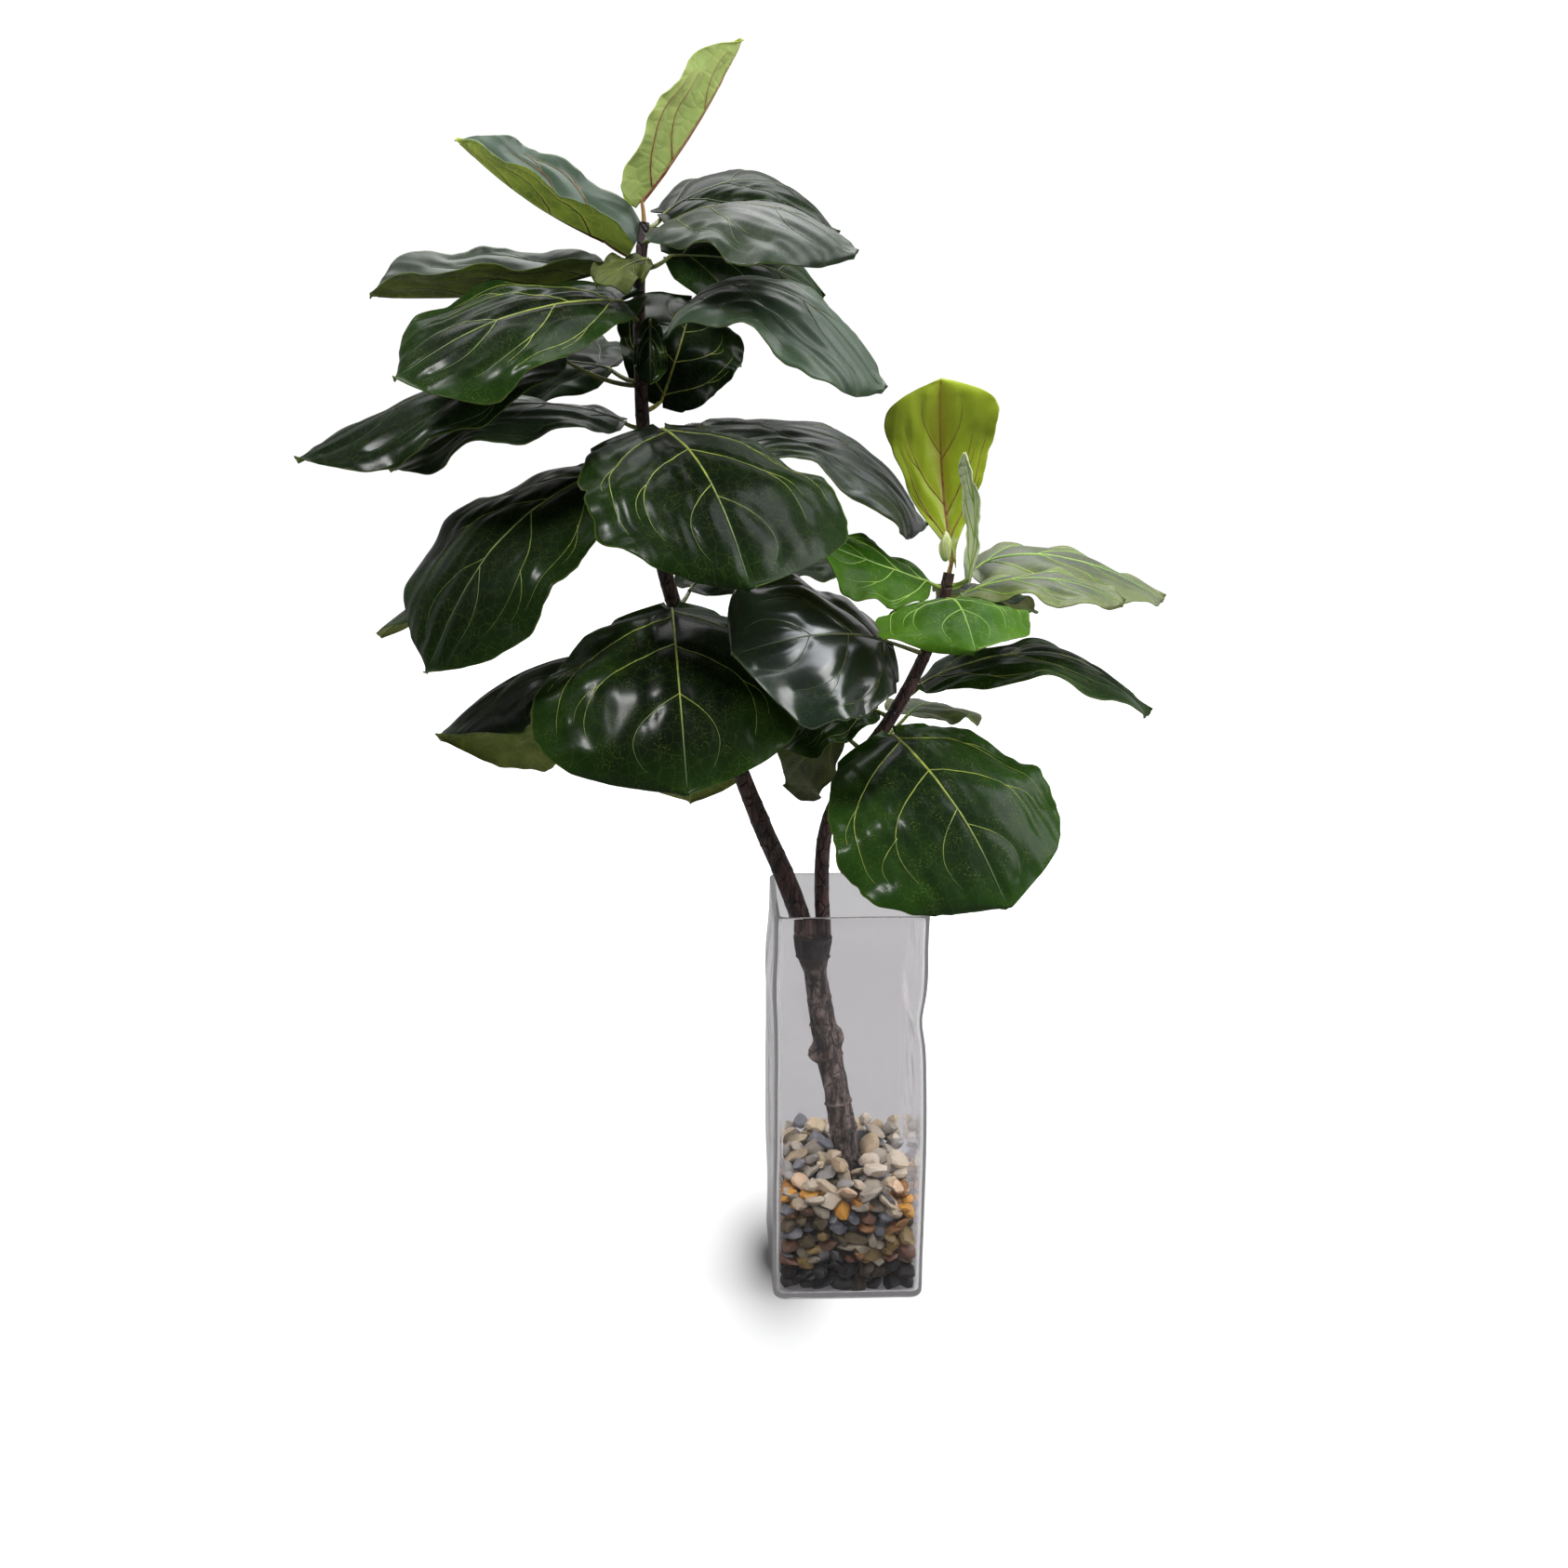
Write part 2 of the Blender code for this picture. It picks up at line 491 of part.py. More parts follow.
def main():
    clear_scene()
    parts, cutters = make_collections()
    make_vase(parts, cutters)
    make_pebble_beds(parts, cutters)
    make_top_pebbles(parts)
    stem_bark = make_material("stem_bark")
    make_stem("trunk", TRUNK, parts, make_material("trunk_bark"))
    make_stem("tall_stem", TALL_STEM, parts, stem_bark)
    make_stem("short_stem", SHORT_STEM, parts, stem_bark)
    old, young = make_material("old_leaf"), make_material("young_leaf")
    for stem, leaves in ((TALL_STEM, TALL_LEAVES), (SHORT_STEM, SHORT_LEAVES)):
        for item in leaves:
            make_leaf(item, stem, parts, young if item["young"] else old)
    make_bud(parts, young)


main()
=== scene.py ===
import math
import random

import bpy
import numpy as np
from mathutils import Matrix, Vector, noise


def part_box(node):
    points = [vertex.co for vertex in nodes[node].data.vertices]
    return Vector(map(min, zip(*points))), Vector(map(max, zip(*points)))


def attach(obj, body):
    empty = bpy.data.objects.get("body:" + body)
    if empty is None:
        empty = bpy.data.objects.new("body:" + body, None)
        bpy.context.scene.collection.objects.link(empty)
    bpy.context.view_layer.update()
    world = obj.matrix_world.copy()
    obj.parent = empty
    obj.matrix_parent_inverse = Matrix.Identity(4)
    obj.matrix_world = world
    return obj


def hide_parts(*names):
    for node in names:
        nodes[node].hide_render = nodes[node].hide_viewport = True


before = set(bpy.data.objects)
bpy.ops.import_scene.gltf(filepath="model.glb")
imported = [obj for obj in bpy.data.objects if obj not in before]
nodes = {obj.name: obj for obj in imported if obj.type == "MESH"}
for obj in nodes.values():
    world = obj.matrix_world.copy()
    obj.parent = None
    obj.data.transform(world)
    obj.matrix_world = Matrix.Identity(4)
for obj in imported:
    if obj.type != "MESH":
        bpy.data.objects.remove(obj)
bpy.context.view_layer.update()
print("frame loaded:", len(nodes), "nodes")


# small helpers

def deselectAll():
    if bpy.context.mode != "OBJECT":
        bpy.ops.object.mode_set(mode="OBJECT")
    bpy.ops.object.select_all(action="DESELECT")


def activate(obj):
    deselectAll()
    obj.select_set(True)
    bpy.context.view_layer.objects.active = obj


def addObject(name, data):
    obj = bpy.data.objects.new(name, data)
    bpy.context.scene.collection.objects.link(obj)
    return obj


def applyModifiers(obj):
    activate(obj)
    for modifier in list(obj.modifiers):
        bpy.ops.object.modifier_apply(modifier=modifier.name)


def bakePlace(obj):
    activate(obj)
    bpy.ops.object.transform_apply(location=True, rotation=True, scale=True)


def unit(vector):
    return vector / np.linalg.norm(vector, axis=-1, keepdims=True)


def readPoints(mesh):
    points = np.empty(len(mesh.vertices) * 3)
    mesh.vertices.foreach_get("co", points)
    return points.reshape(-1, 3)


def writePoints(mesh, points):
    mesh.vertices.foreach_set("co", np.asarray(points).ravel())
    mesh.update()


def paint(mesh, **layers):
    for name, values in layers.items():
        layer = mesh.attributes.get(name) or mesh.attributes.new(name, "FLOAT", "POINT")
        layer.data.foreach_set("value", np.broadcast_to(np.float32(values), len(mesh.vertices)).ravel())


def noiseAt(*columns):
    # one noise value for each row of the columns
    return np.array([noise.noise(Vector(row)) for row in np.column_stack(np.broadcast_arrays(*columns))])


def selectParts(obj, kind, test):
    # edit mode, with the faces selected whose middle and normal pass the test, or the edges whose two ends do
    activate(obj)
    bpy.ops.object.mode_set(mode="EDIT")
    bpy.ops.mesh.select_mode(type=kind)
    bpy.ops.mesh.select_all(action="DESELECT")
    bpy.ops.object.mode_set(mode="OBJECT")
    mesh = obj.data
    if kind == "FACE":
        for face in mesh.polygons:
            face.select = test(face.center, face.normal)
    else:
        for edge in mesh.edges:
            edge.select = test(*[mesh.vertices[i].co for i in edge.vertices])
    bpy.ops.object.mode_set(mode="EDIT")


def smoothPath(points, step):
    # a Catmull-Rom line through the points, with the share of the way at each place
    knots = [np.array(p, float) for p in points]
    knots = [2 * knots[0] - knots[1], *knots, 2 * knots[-1] - knots[-2]]
    places, shares = [], []
    for index in range(1, len(knots) - 2):
        before, start, end, after = knots[index - 1:index + 3]
        count = max(1, round(np.linalg.norm(end - start) / step))
        for part in range(count):
            t = part / count
            square = 2 * before - 5 * start + 4 * end - after
            cube = 3 * start - before - 3 * end + after
            places.append(0.5 * (2 * start + (end - before) * t + square * t ** 2 + cube * t ** 3))
            shares.append(index - 1 + t)
    places.append(knots[-2])
    shares.append(len(points) - 1.0)
    return np.array(places), np.array(shares)


def tubes(name, lines, material, roundness=1):
    # one mesh of capped tubes, each line being its places and the radius at each
    curve = bpy.data.curves.new(name, "CURVE")
    curve.dimensions = "3D"
    curve.bevel_depth = 1.0
    curve.bevel_resolution = roundness
    curve.use_fill_caps = True
    for places, radii in lines:
        spline = curve.splines.new("POLY")
        spline.points.add(len(places) - 1)
        spline.points.foreach_set("co", np.column_stack([places, np.ones(len(places))]).ravel())
        spline.points.foreach_set("radius", np.asarray(radii, np.float32))
        spline.use_smooth = True
    obj = addObject(name, curve)
    curve.materials.append(material)
    activate(obj)
    bpy.ops.object.convert(target="MESH")
    obj = bpy.context.view_layer.objects.active
    bpy.ops.object.mode_set(mode="EDIT")
    bpy.ops.mesh.select_all(action="SELECT")
    bpy.ops.mesh.remove_doubles(threshold=0.000002)
    bpy.ops.mesh.normals_make_consistent(inside=False)
    bpy.ops.object.mode_set(mode="OBJECT")
    return obj


# materials

def newMaterial(name, values):
    material = bpy.data.materials.new(name)
    material.use_nodes = True
    shader = material.node_tree.nodes["Principled BSDF"]
    for socket, value in values.items():
        shader.inputs[socket].default_value = value
    return material, shader


# below, material is what holds the nodes: a material or the world

def addNode(material, kind, inputs=None):
    node = material.node_tree.nodes.new("ShaderNode" + kind)
    for socket, value in (inputs or {}).items():
        node.inputs[socket].default_value = value
    return node


def link(material, source, target):
    material.node_tree.links.new(source, target)


def plug(material, sockets, values):
    # a number or a colour is set on its socket, and anything else is linked to it
    for socket, value in zip(sockets, values):
        if isinstance(value, (int, float)):
            socket.default_value = value
        elif isinstance(value, tuple):
            socket.default_value = (*value, 1.0)
        else:
            link(material, value, socket)


def attribute(material, name):
    node = addNode(material, "Attribute")
    node.attribute_name = name
    return node.outputs["Fac"]


def uvPlace(material):
    node = addNode(material, "UVMap")
    node.uv_map = "bladeMap"
    return node.outputs["UV"]


def objectPlace(material):
    return addNode(material, "TexCoord").outputs["Object"]


def stretched(material, place, scale):
    node = addNode(material, "Mapping", {"Scale": scale})
    link(material, place, node.inputs["Vector"])
    return node.outputs["Vector"]


def noiseOf(material, place, scale, detail=3.0, roughness=0.55):
    node = addNode(material, "TexNoise", {"Scale": scale, "Detail": detail, "Roughness": roughness})
    link(material, place, node.inputs["Vector"])
    return node.outputs["Fac"]


def cellEdges(material, place, scale):
    node = addNode(material, "TexVoronoi", {"Scale": scale})
    node.feature = "DISTANCE_TO_EDGE"
    link(material, place, node.inputs["Vector"])
    return node.outputs["Distance"]


def ramp(material, value, stops, kind="LINEAR"):
    node = addNode(material, "ValToRGB")
    node.color_ramp.interpolation = kind
    elements = node.color_ramp.elements
    while len(elements) < len(stops):
        elements.new(0.5)
    for element, (place, colour) in zip(elements, stops):
        element.position = place
        element.color = (*colour, 1.0)
    link(material, value, node.inputs["Fac"])
    return node.outputs["Color"]


def span(material, value, low, high, first=0.0, last=1.0, kind="LINEAR"):
    # a value that goes from first to last while the one given goes from low to high
    node = addNode(material, "MapRange")
    node.interpolation_type = kind
    plug(material, node.inputs, (value, low, high, first, last))
    return node.outputs["Result"]


def mathOf(material, kind, first, second):
    node = addNode(material, "Math")
    node.operation = kind
    plug(material, node.inputs, (first, second))
    return node.outputs["Value"]


def times(material, first, second):
    return mathOf(material, "MULTIPLY", first, second)


def mix(material, share, first, second, kind="MIX"):
    node = addNode(material, "Mix")
    node.data_type = "RGBA"
    node.blend_type = kind
    plug(material, [node.inputs[n] for n in (0, 6, 7)], (share, first, second))
    return node.outputs[2]


def mixNumbers(material, share, first, second):
    node = addNode(material, "Mix")
    plug(material, [node.inputs[n] for n in (0, 2, 3)], (share, first, second))
    return node.outputs[0]


def bump(material, shader, height, strength, distance):
    node = addNode(material, "Bump", {"Strength": strength, "Distance": distance})
    link(material, height, node.inputs["Height"])
    link(material, node.outputs["Normal"], shader.inputs["Normal"])


# camera, floor and light

stageLook = {
    "cameraPlace": (-0.159, -1.411, 0.87), "pitch": 8.73, "yaw": 1.608,
    "lens": 32.03, "shift": (0.0332, -0.0724),
    # the surroundings' light from the front and the back, and as seen through little or much glass
    "frontLight": 0.12, "backLight": 0.58, "thinGlassLight": 0.62, "thickGlassLight": 0.92, "white": 1.02,
    # the floor's glow near the vase, far from it, and through glass, and the soft painted shadow beside the
    # vase
    "floorSize": 14.0, "glowNear": 0.8, "glowFar": 1.25, "glowReach": (0.3, 1.3), "glowThrough": 0.08,
    "shadePlace": (-0.072, 0.002, 0.0), "shadeReach": (0.01, 0.15), "shadeStretch": (1.0, 0.42, 1.0),
    "shadeFall": 3.4, "shadeColour": (0.08, 0.08, 0.082),
    # each lamp: its place, what it points at, its width and height, its power, and its colour
    "lamps": {
        "keyBox": ((-1.05, -1.25, 2.6), (-0.1, 0.0, 0.7), (0.38, 0.38), 46, (1, 1, 1)),
        "sideBox": ((2.1, -0.7, 1.9), (0.0, 0.0, 0.3), (1.5, 1.7), 60, (1, 1, 1)),
        "rimBox": ((1.15, -0.3, 2.8), (-0.05, -0.1, 0.7), (0.9, 1.4), 26, (0.92, 0.96, 1.0)),
        "topBox": ((-0.1, 0.85, 2.9), (-0.1, 0.0, 0.6), (2.4, 1.5), 62, (1, 1, 1)),
    },
}


def clearDepth(material, path, depth):
    # how often a ray has gone through glass, and far below zero once it has met a matt surface
    matt = times(material, path.outputs["Diffuse Depth"], 9.0)
    return mathOf(material, "SUBTRACT", path.outputs[depth], matt)


def placeCamera(look):
    camera = bpy.data.cameras.new("camera")
    camera.lens = look["lens"]
    camera.sensor_width = 36.0
    camera.shift_x, camera.shift_y = look["shift"]
    camera.clip_start = 0.05
    holder = addObject("camera", camera)
    holder.location = look["cameraPlace"]
    holder.rotation_euler = (math.radians(90 - look["pitch"]), 0, math.radians(-look["yaw"]))
    bpy.context.scene.camera = holder


def lightWorld(look):
    # light from behind, darker in front, and brighter through much glass
    world = bpy.data.worlds.new("studio")
    world.use_nodes = True
    split = addNode(world, "SeparateXYZ")
    link(world, addNode(world, "TexCoord").outputs["Generated"], split.inputs["Vector"])
    fall = span(world, split.outputs["Y"], -0.25, 0.75, look["frontLight"], look["backLight"], "SMOOTHSTEP")
    path = addNode(world, "LightPath")
    depth = path.outputs["Transmission Depth"]
    direct = mathOf(world, "SUBTRACT", depth, path.outputs["Diffuse Depth"])
    inGlass = mathOf(world, "GREATER_THAN", direct, 0.5)
    deep = span(world, depth, 2.0, 6.0, look["thinGlassLight"], look["thickGlassLight"])
    clear = mixNumbers(world, inGlass, fall, deep)
    background = world.node_tree.nodes["Background"]
    background.inputs["Color"].default_value = (1.0, 1.0, 1.0, 1.0)
    strength = mixNumbers(world, path.outputs["Is Camera Ray"], clear, look["white"])
    link(world, strength, background.inputs["Strength"])
    bpy.context.scene.world = world
    bpy.context.scene.view_settings.view_transform = "Standard"


def layFloor(look):
    deselectAll()
    bpy.ops.mesh.primitive_plane_add(size=look["floorSize"], location=(0, 0, -0.0005))
    floor = bpy.context.object
    floor.name = "floor"
    paper, shader = newMaterial("paleFloor", {"Roughness": 0.9, "Emission Color": (1.0, 1.0, 1.0, 1.0)})
    speck = noiseOf(paper, objectPlace(paper), 40.0)
    tint = ramp(paper, speck, [(0.0, (0.25, 0.25, 0.25)), (1.0, (0.28, 0.28, 0.28))])

    def distanceFrom(place, stretch=(1.0, 1.0, 1.0)):
        node = addNode(paper, "VectorMath")
        node.operation = "DISTANCE"
        link(paper, stretched(paper, objectPlace(paper), stretch), node.inputs[0])
        node.inputs[1].default_value = place
        return node.outputs["Value"]

    # the paper glows for the eye only, so that its own light stays soft; the glow is weaker near the vase, and
    # beside the vase a painted shadow cuts the glow and darkens the colour
    path = addNode(paper, "LightPath")
    glow = span(paper, distanceFrom((0, 0, 0)), *look["glowReach"], look["glowNear"], look["glowFar"])
    # painted shadow: a soft spot beside the vase that dims the glow and darkens the floor towards shadeColour
    fade = span(paper, distanceFrom(look["shadePlace"], look["shadeStretch"]), *look["shadeReach"], 1.0, 0.0)
    fade = mathOf(paper, "POWER", fade, look["shadeFall"])
    glow = times(paper, glow, mathOf(paper, "SUBTRACT", 1.0, fade))
    link(paper, mix(paper, fade, tint, look["shadeColour"]), shader.inputs["Base Color"])
    seen = times(paper, path.outputs["Is Camera Ray"], glow)
    clear = mathOf(paper, "GREATER_THAN", clearDepth(paper, path, "Transmission Depth"), 0.5)
    through = times(paper, clear, look["glowThrough"])
    link(paper, mathOf(paper, "ADD", seen, through), shader.inputs["Emission Strength"])
    floor.data.materials.append(paper)
    bakePlace(floor)


def hangLamps(look):
    for name, (place, target, size, power, colour) in look["lamps"].items():
        data = bpy.data.lights.new(name, "AREA")
        data.shape = "RECTANGLE"
        data.size, data.size_y = size
        data.energy = power
        data.color = colour
        lamp = addObject(name, data)
        lamp.location = place
        lamp.rotation_euler = (Vector(target) - Vector(place)).to_track_quat("-Z", "Y").to_euler()


placeCamera(stageLook)
lightWorld(stageLook)
layFloor(stageLook)
hangLamps(stageLook)
print("stage set")

# vase

vaseSizes = {
    "width": 0.157, "wall": 0.0055, "floor": 0.007, "corner": 0.013, "wave": 0.0022,
    # cuts up and across the walls, and how far the first and last rows stay from the ends
    "rows": 44, "sideCuts": 8, "firstRow": 0.018, "rowsLess": 0.022,
    # each rounding's size and number of steps
    "rimRound": (0.0016, 3), "footRound": (0.007, 4), "insideRound": (0.003, 3),
    "tint": (0.885, 0.87, 0.885, 1.0), "shine": (0.45, 0.45, 0.45, 1.0), "shadowTint": (0.88, 0.87, 0.88, 1.0),
    # the glass's painted glow after many passes through it: its colour, after how many passes, and its
    # strength
    "paintedGlowTint": (0.93, 0.91, 0.93, 1.0), "paintedGlowAfter": 4.5, "paintedGlowLight": 0.1,
    "ripples": 22.0, "rippleDepth": 0.004,
    # each dent or bulge: its side in radians, its height, how far it pushes, and its spread up and around
    "dents": [(0.0, 0.3, -0.0085, 0.02, 0.9), (0.0, 0.35, 0.003, 0.022, 0.9),
              (math.pi, 0.335, 0.0045, 0.028, 0.9), (math.pi, 0.25, -0.002, 0.03, 0.9),
              (math.pi, 0.12, 0.003, 0.05, 0.9), (-1.9, 0.3, -0.003, 0.04, 0.5),
              (1.4, 0.25, 0.003, 0.05, 0.8)],
}


def makeVase(sizes):
    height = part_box("vase")[1].z
    half = sizes["width"] / 2
    deselectAll()
    bpy.ops.mesh.primitive_cube_add(size=1.0, location=(0, 0, height / 2), scale=(2 * half, 2 * half, height))
    vase = bpy.context.object
    vase.name = "vase_glass"
    bakePlace(vase)
    selectParts(vase, "EDGE", lambda a, b: abs(a.z - b.z) > 0.1)
    bpy.ops.mesh.bevel(offset=sizes["corner"], segments=5, affect="EDGES")
    selectParts(vase, "FACE", lambda centre, normal: normal.z > 0.9)
    bpy.ops.mesh.inset(thickness=sizes["wall"])
    bpy.ops.mesh.extrude_region_move(TRANSFORM_OT_translate={"value": (0, 0, sizes["floor"] - height)})
    for level, part in ((height, "rimRound"), (0.0, "footRound"), (sizes["floor"], "insideRound")):
        selectParts(vase, "EDGE", lambda a, b: abs(a.z - level) < 1e-5 and abs(b.z - level) < 1e-5)
        offset, segments = sizes[part]
        bpy.ops.mesh.bevel(offset=offset, segments=segments, affect="EDGES")
    for row in range(1, sizes["rows"]):
        bpy.ops.mesh.select_all(action="SELECT")
        level = sizes["firstRow"] + (height - sizes["rowsLess"]) * row / sizes["rows"]
        bpy.ops.mesh.bisect(plane_co=(0, 0, level), plane_no=(0, 0, 1))
    for cut in range(1, sizes["sideCuts"]):
        place = (half - sizes["corner"]) * (2.0 * cut / sizes["sideCuts"] - 1.0)
        for axis in ((1, 0, 0), (0, 1, 0)):
            bpy.ops.mesh.select_all(action="SELECT")
            bpy.ops.mesh.bisect(plane_co=[place * n for n in axis], plane_no=axis)
    bpy.ops.object.mode_set(mode="OBJECT")
    points = readPoints(vase.data)
    share = points[:, 2] / height
    side = np.arctan2(points[:, 1], points[:, 0])
    swell = np.sin(2.0 * math.pi * share * 1.1 + 1.3 * np.sin(side)) * np.cos(side + 0.8 * share)
    fine = 0.25 * np.sin(9.0 * share + 2.0 * side) * np.sin(3.0 * side + 4.0 * share)
    reach = np.maximum(np.hypot(points[:, 0], points[:, 1]), 1e-6)
    rim = np.clip(np.maximum(abs(points[:, 0]), abs(points[:, 1])) / (half - sizes["corner"]), 0, 1) ** 6
    bulge = sizes["wave"] * (swell + fine)
    for turn, level, depth, spread, width in sizes["dents"]:
        off = np.angle(np.exp(1j * (side - turn)))
        bulge += depth * np.exp(-((points[:, 2] - level) / spread) ** 2 - (off / width) ** 2)
    push = bulge * np.minimum(1.0, share * 6.0) * rim / reach
    points[:, :2] *= (1.0 + push)[:, None]
    writePoints(vase.data, points)
    activate(vase)
    bpy.ops.object.shade_smooth_by_angle(angle=math.radians(40))
    vase.data.materials.append(glassMaterial(sizes))
    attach(vase, "root")
    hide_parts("vase")


def glassMaterial(sizes):
    glass, shader = newMaterial("smokedGlass", {
        "Roughness": 0.0, "IOR": 1.45, "Transmission Weight": 1.0, "Base Color": sizes["tint"],
        "Emission Color": sizes["paintedGlowTint"], "Specular Tint": sizes["shine"]})
    bump(glass, shader, noiseOf(glass, objectPlace(glass), sizes["ripples"], 1.0), 0.10, sizes["rippleDepth"])
    path = addNode(glass, "LightPath")
    # painted glow: after many passes through glass the glass itself glows pale, standing in for light that
    # goes round inside the walls and is cut off by the bounce limit
    paintedGlowMask = mathOf(glass, "GREATER_THAN", clearDepth(glass, path, "Ray Depth"), sizes["paintedGlowAfter"])
    link(glass, times(glass, paintedGlowMask, sizes["paintedGlowLight"]), shader.inputs["Emission Strength"])
    through = addNode(glass, "BsdfTransparent", {"Color": sizes["shadowTint"]})
    either = addNode(glass, "MixShader")
    parts = (path.outputs["Is Shadow Ray"], shader.outputs["BSDF"], through.outputs["BSDF"])
    plug(glass, either.inputs, parts)
    link(glass, either.outputs["Shader"], glass.node_tree.nodes["Material Output"].inputs["Surface"])
    return glass


makeVase(vaseSizes)
print("vase blown")

# pebbles

pebbleBeds = {
    # mixed is how far a stone's colour is chance, and the rest follows its height: colours run upwards
    "dark_pebbles": {
        "low": 0.0, "high": 0.033, "nodes": ["dark_pebble_bed"],
        "seed": 3, "gleam": 0.34, "shine": 0.1, "mixed": 1.0,
        "colours": [(0.006, 0.006, 0.007), (0.011, 0.011, 0.012), (0.018, 0.017, 0.016), (0.009, 0.008, 0.007),
                    (0.028, 0.021, 0.014), (0.008, 0.008, 0.01)],
    },
    "brown_pebbles": {
        "low": 0.033, "high": 0.101, "nodes": ["brown_pebble_bed"],
        "seed": 5, "gleam": 0.36, "shine": 0.28, "mixed": 0.5,
        "colours": [(0.028, 0.024, 0.018), (0.07, 0.046, 0.016), (0.09, 0.04, 0.022), (0.036, 0.034, 0.034),
                    (0.13, 0.088, 0.028), (0.095, 0.048, 0.028), (0.18, 0.16, 0.12), (0.06, 0.045, 0.022),
                    (0.17, 0.08, 0.026), (0.085, 0.092, 0.105), (0.42, 0.21, 0.03), (0.11, 0.066, 0.034),
                    (0.29, 0.25, 0.19), (0.33, 0.15, 0.024)],
    },
    "light_pebbles": {
        "low": 0.101, "high": 0.2,
        "nodes": ["light_pebble_bed", *(f"top_pebble_{n:02d}" for n in range(1, 14))],
        "seed": 8, "gleam": 0.6, "shine": 0.2, "mixed": 1.0,
        "colours": [(0.36, 0.31, 0.23), (0.45, 0.33, 0.22), (0.22, 0.22, 0.21), (0.44, 0.4, 0.34),
                    (0.3, 0.24, 0.16), (0.14, 0.15, 0.17), (0.42, 0.36, 0.25), (0.26, 0.24, 0.2),
                    (0.19, 0.18, 0.16), (0.37, 0.33, 0.26)],
    },
}
pebbleSizes = {
    "spacing": 0.0172, "flatness": 0.62, "half": 0.071, "facets": 9, "smallest": 0.72, "largest": 1.36,
    "bottom": 0.0076, "firstRow": 0.0135, "top": 0.117, "mound": 0.004, "slope": 0.16,
    "trunkPlace": (0.009, 0.01), "trunkRadius": 0.0165, "pushes": 70, "pushShare": 0.28, "sink": 0.0001,
    "glassHalf": 0.0718, "glassFloor": 0.0074,
}


def settlePebbles(sizes):
    # middles and half widths of the stones, pushed apart until they only touch, in three beds
    chance = np.random.default_rng(11)
    step, flat, half, top = sizes["spacing"], sizes["flatness"], sizes["half"], sizes["top"]
    grid = []
    level, row = sizes["firstRow"], 0
    while level < top + 0.018:
        for i in np.arange(-half + step / 2, half, step):
            for j in np.arange(-half + step / 2, half, step):
                shift = step / 2 * (row % 2)
                grid.append((i + shift, j + shift, level))
        level += step * flat * 0.82
        row += 1
    places = np.array(grid) + chance.normal(0, step * 0.16, (len(grid), 3)) * (1, 1, flat)
    radii = step / 2 * chance.uniform(sizes["smallest"], sizes["largest"], len(places))
    swell = sizes["mound"] * np.cos(places[:, 0] * 38 + 0.6) * np.cos(places[:, 1] * 30)
    keep = places[:, 2] < top + swell + sizes["slope"] * places[:, 1]
    places, radii = places[keep], radii[keep]
    for turn in range(sizes["pushes"]):
        places[:, :2] = np.clip(places[:, :2], -(half - radii[:, None]), half - radii[:, None])
        places[:, 2] = np.maximum(places[:, 2], sizes["bottom"] + radii * flat)
        away = places[:, :2] - np.array(sizes["trunkPlace"])
        gap = np.maximum(np.linalg.norm(away, axis=1), 1e-6)
        short = np.maximum(sizes["trunkRadius"] + radii * 0.9 - gap, 0)
        places[:, :2] += away / gap[:, None] * short[:, None]
        scaled = places / (1, 1, flat)
        delta = scaled[:, None] - scaled[None]
        distance = np.sqrt((delta ** 2).sum(2)) + np.eye(len(scaled))
        overlap = np.maximum(radii[:, None] + radii[None] - distance, 0) * (1 - np.eye(len(scaled)))
        push = (delta / distance[..., None] * overlap[..., None]).sum(1) * sizes["pushShare"]
        push[:, 2] -= sizes["sink"]
        places += push * (1, 1, flat)
    return places, radii


def shapePebble(corners, spot, radius, sizes, chance):
    # one stone: a lumpy ball cut by flat facets, stretched, turned, tilted and kept inside the glass
    turn = chance.uniform(0, 2 * math.pi)
    tilt = chance.normal(0, 0.22, 2)
    stretch = np.array([chance.uniform(0.95, 1.42), chance.uniform(0.76, 1.05),
                        chance.uniform(0.85, 1.25) * sizes["flatness"]]) * radius
    lumps = chance.normal(0, 1, (2, 3))
    bulge = 1.0 + 0.12 * np.sin(corners @ lumps[0] * 1.7) + 0.08 * np.cos(corners @ lumps[1] * 2.3)
    stone = corners * bulge[:, None]
    for facet in unit(chance.normal(0, 1, (sizes["facets"], 3))):
        stone = stone - facet * np.maximum(stone @ facet - chance.uniform(0.52, 0.88), 0)[:, None]
    stone = stone * 1.12 * stretch
    c, s = math.cos(turn), math.sin(turn)
    stone = stone @ np.array([[c, s, 0], [-s, c, 0], [0, 0, 1]])
    stone[:, 2] += stone[:, 0] * tilt[0] + stone[:, 1] * tilt[1]
    stone = stone + spot
    stone[:, :2] = np.clip(stone[:, :2], -sizes["glassHalf"], sizes["glassHalf"])
    stone[:, 2] = np.maximum(stone[:, 2], sizes["glassFloor"])
    return stone


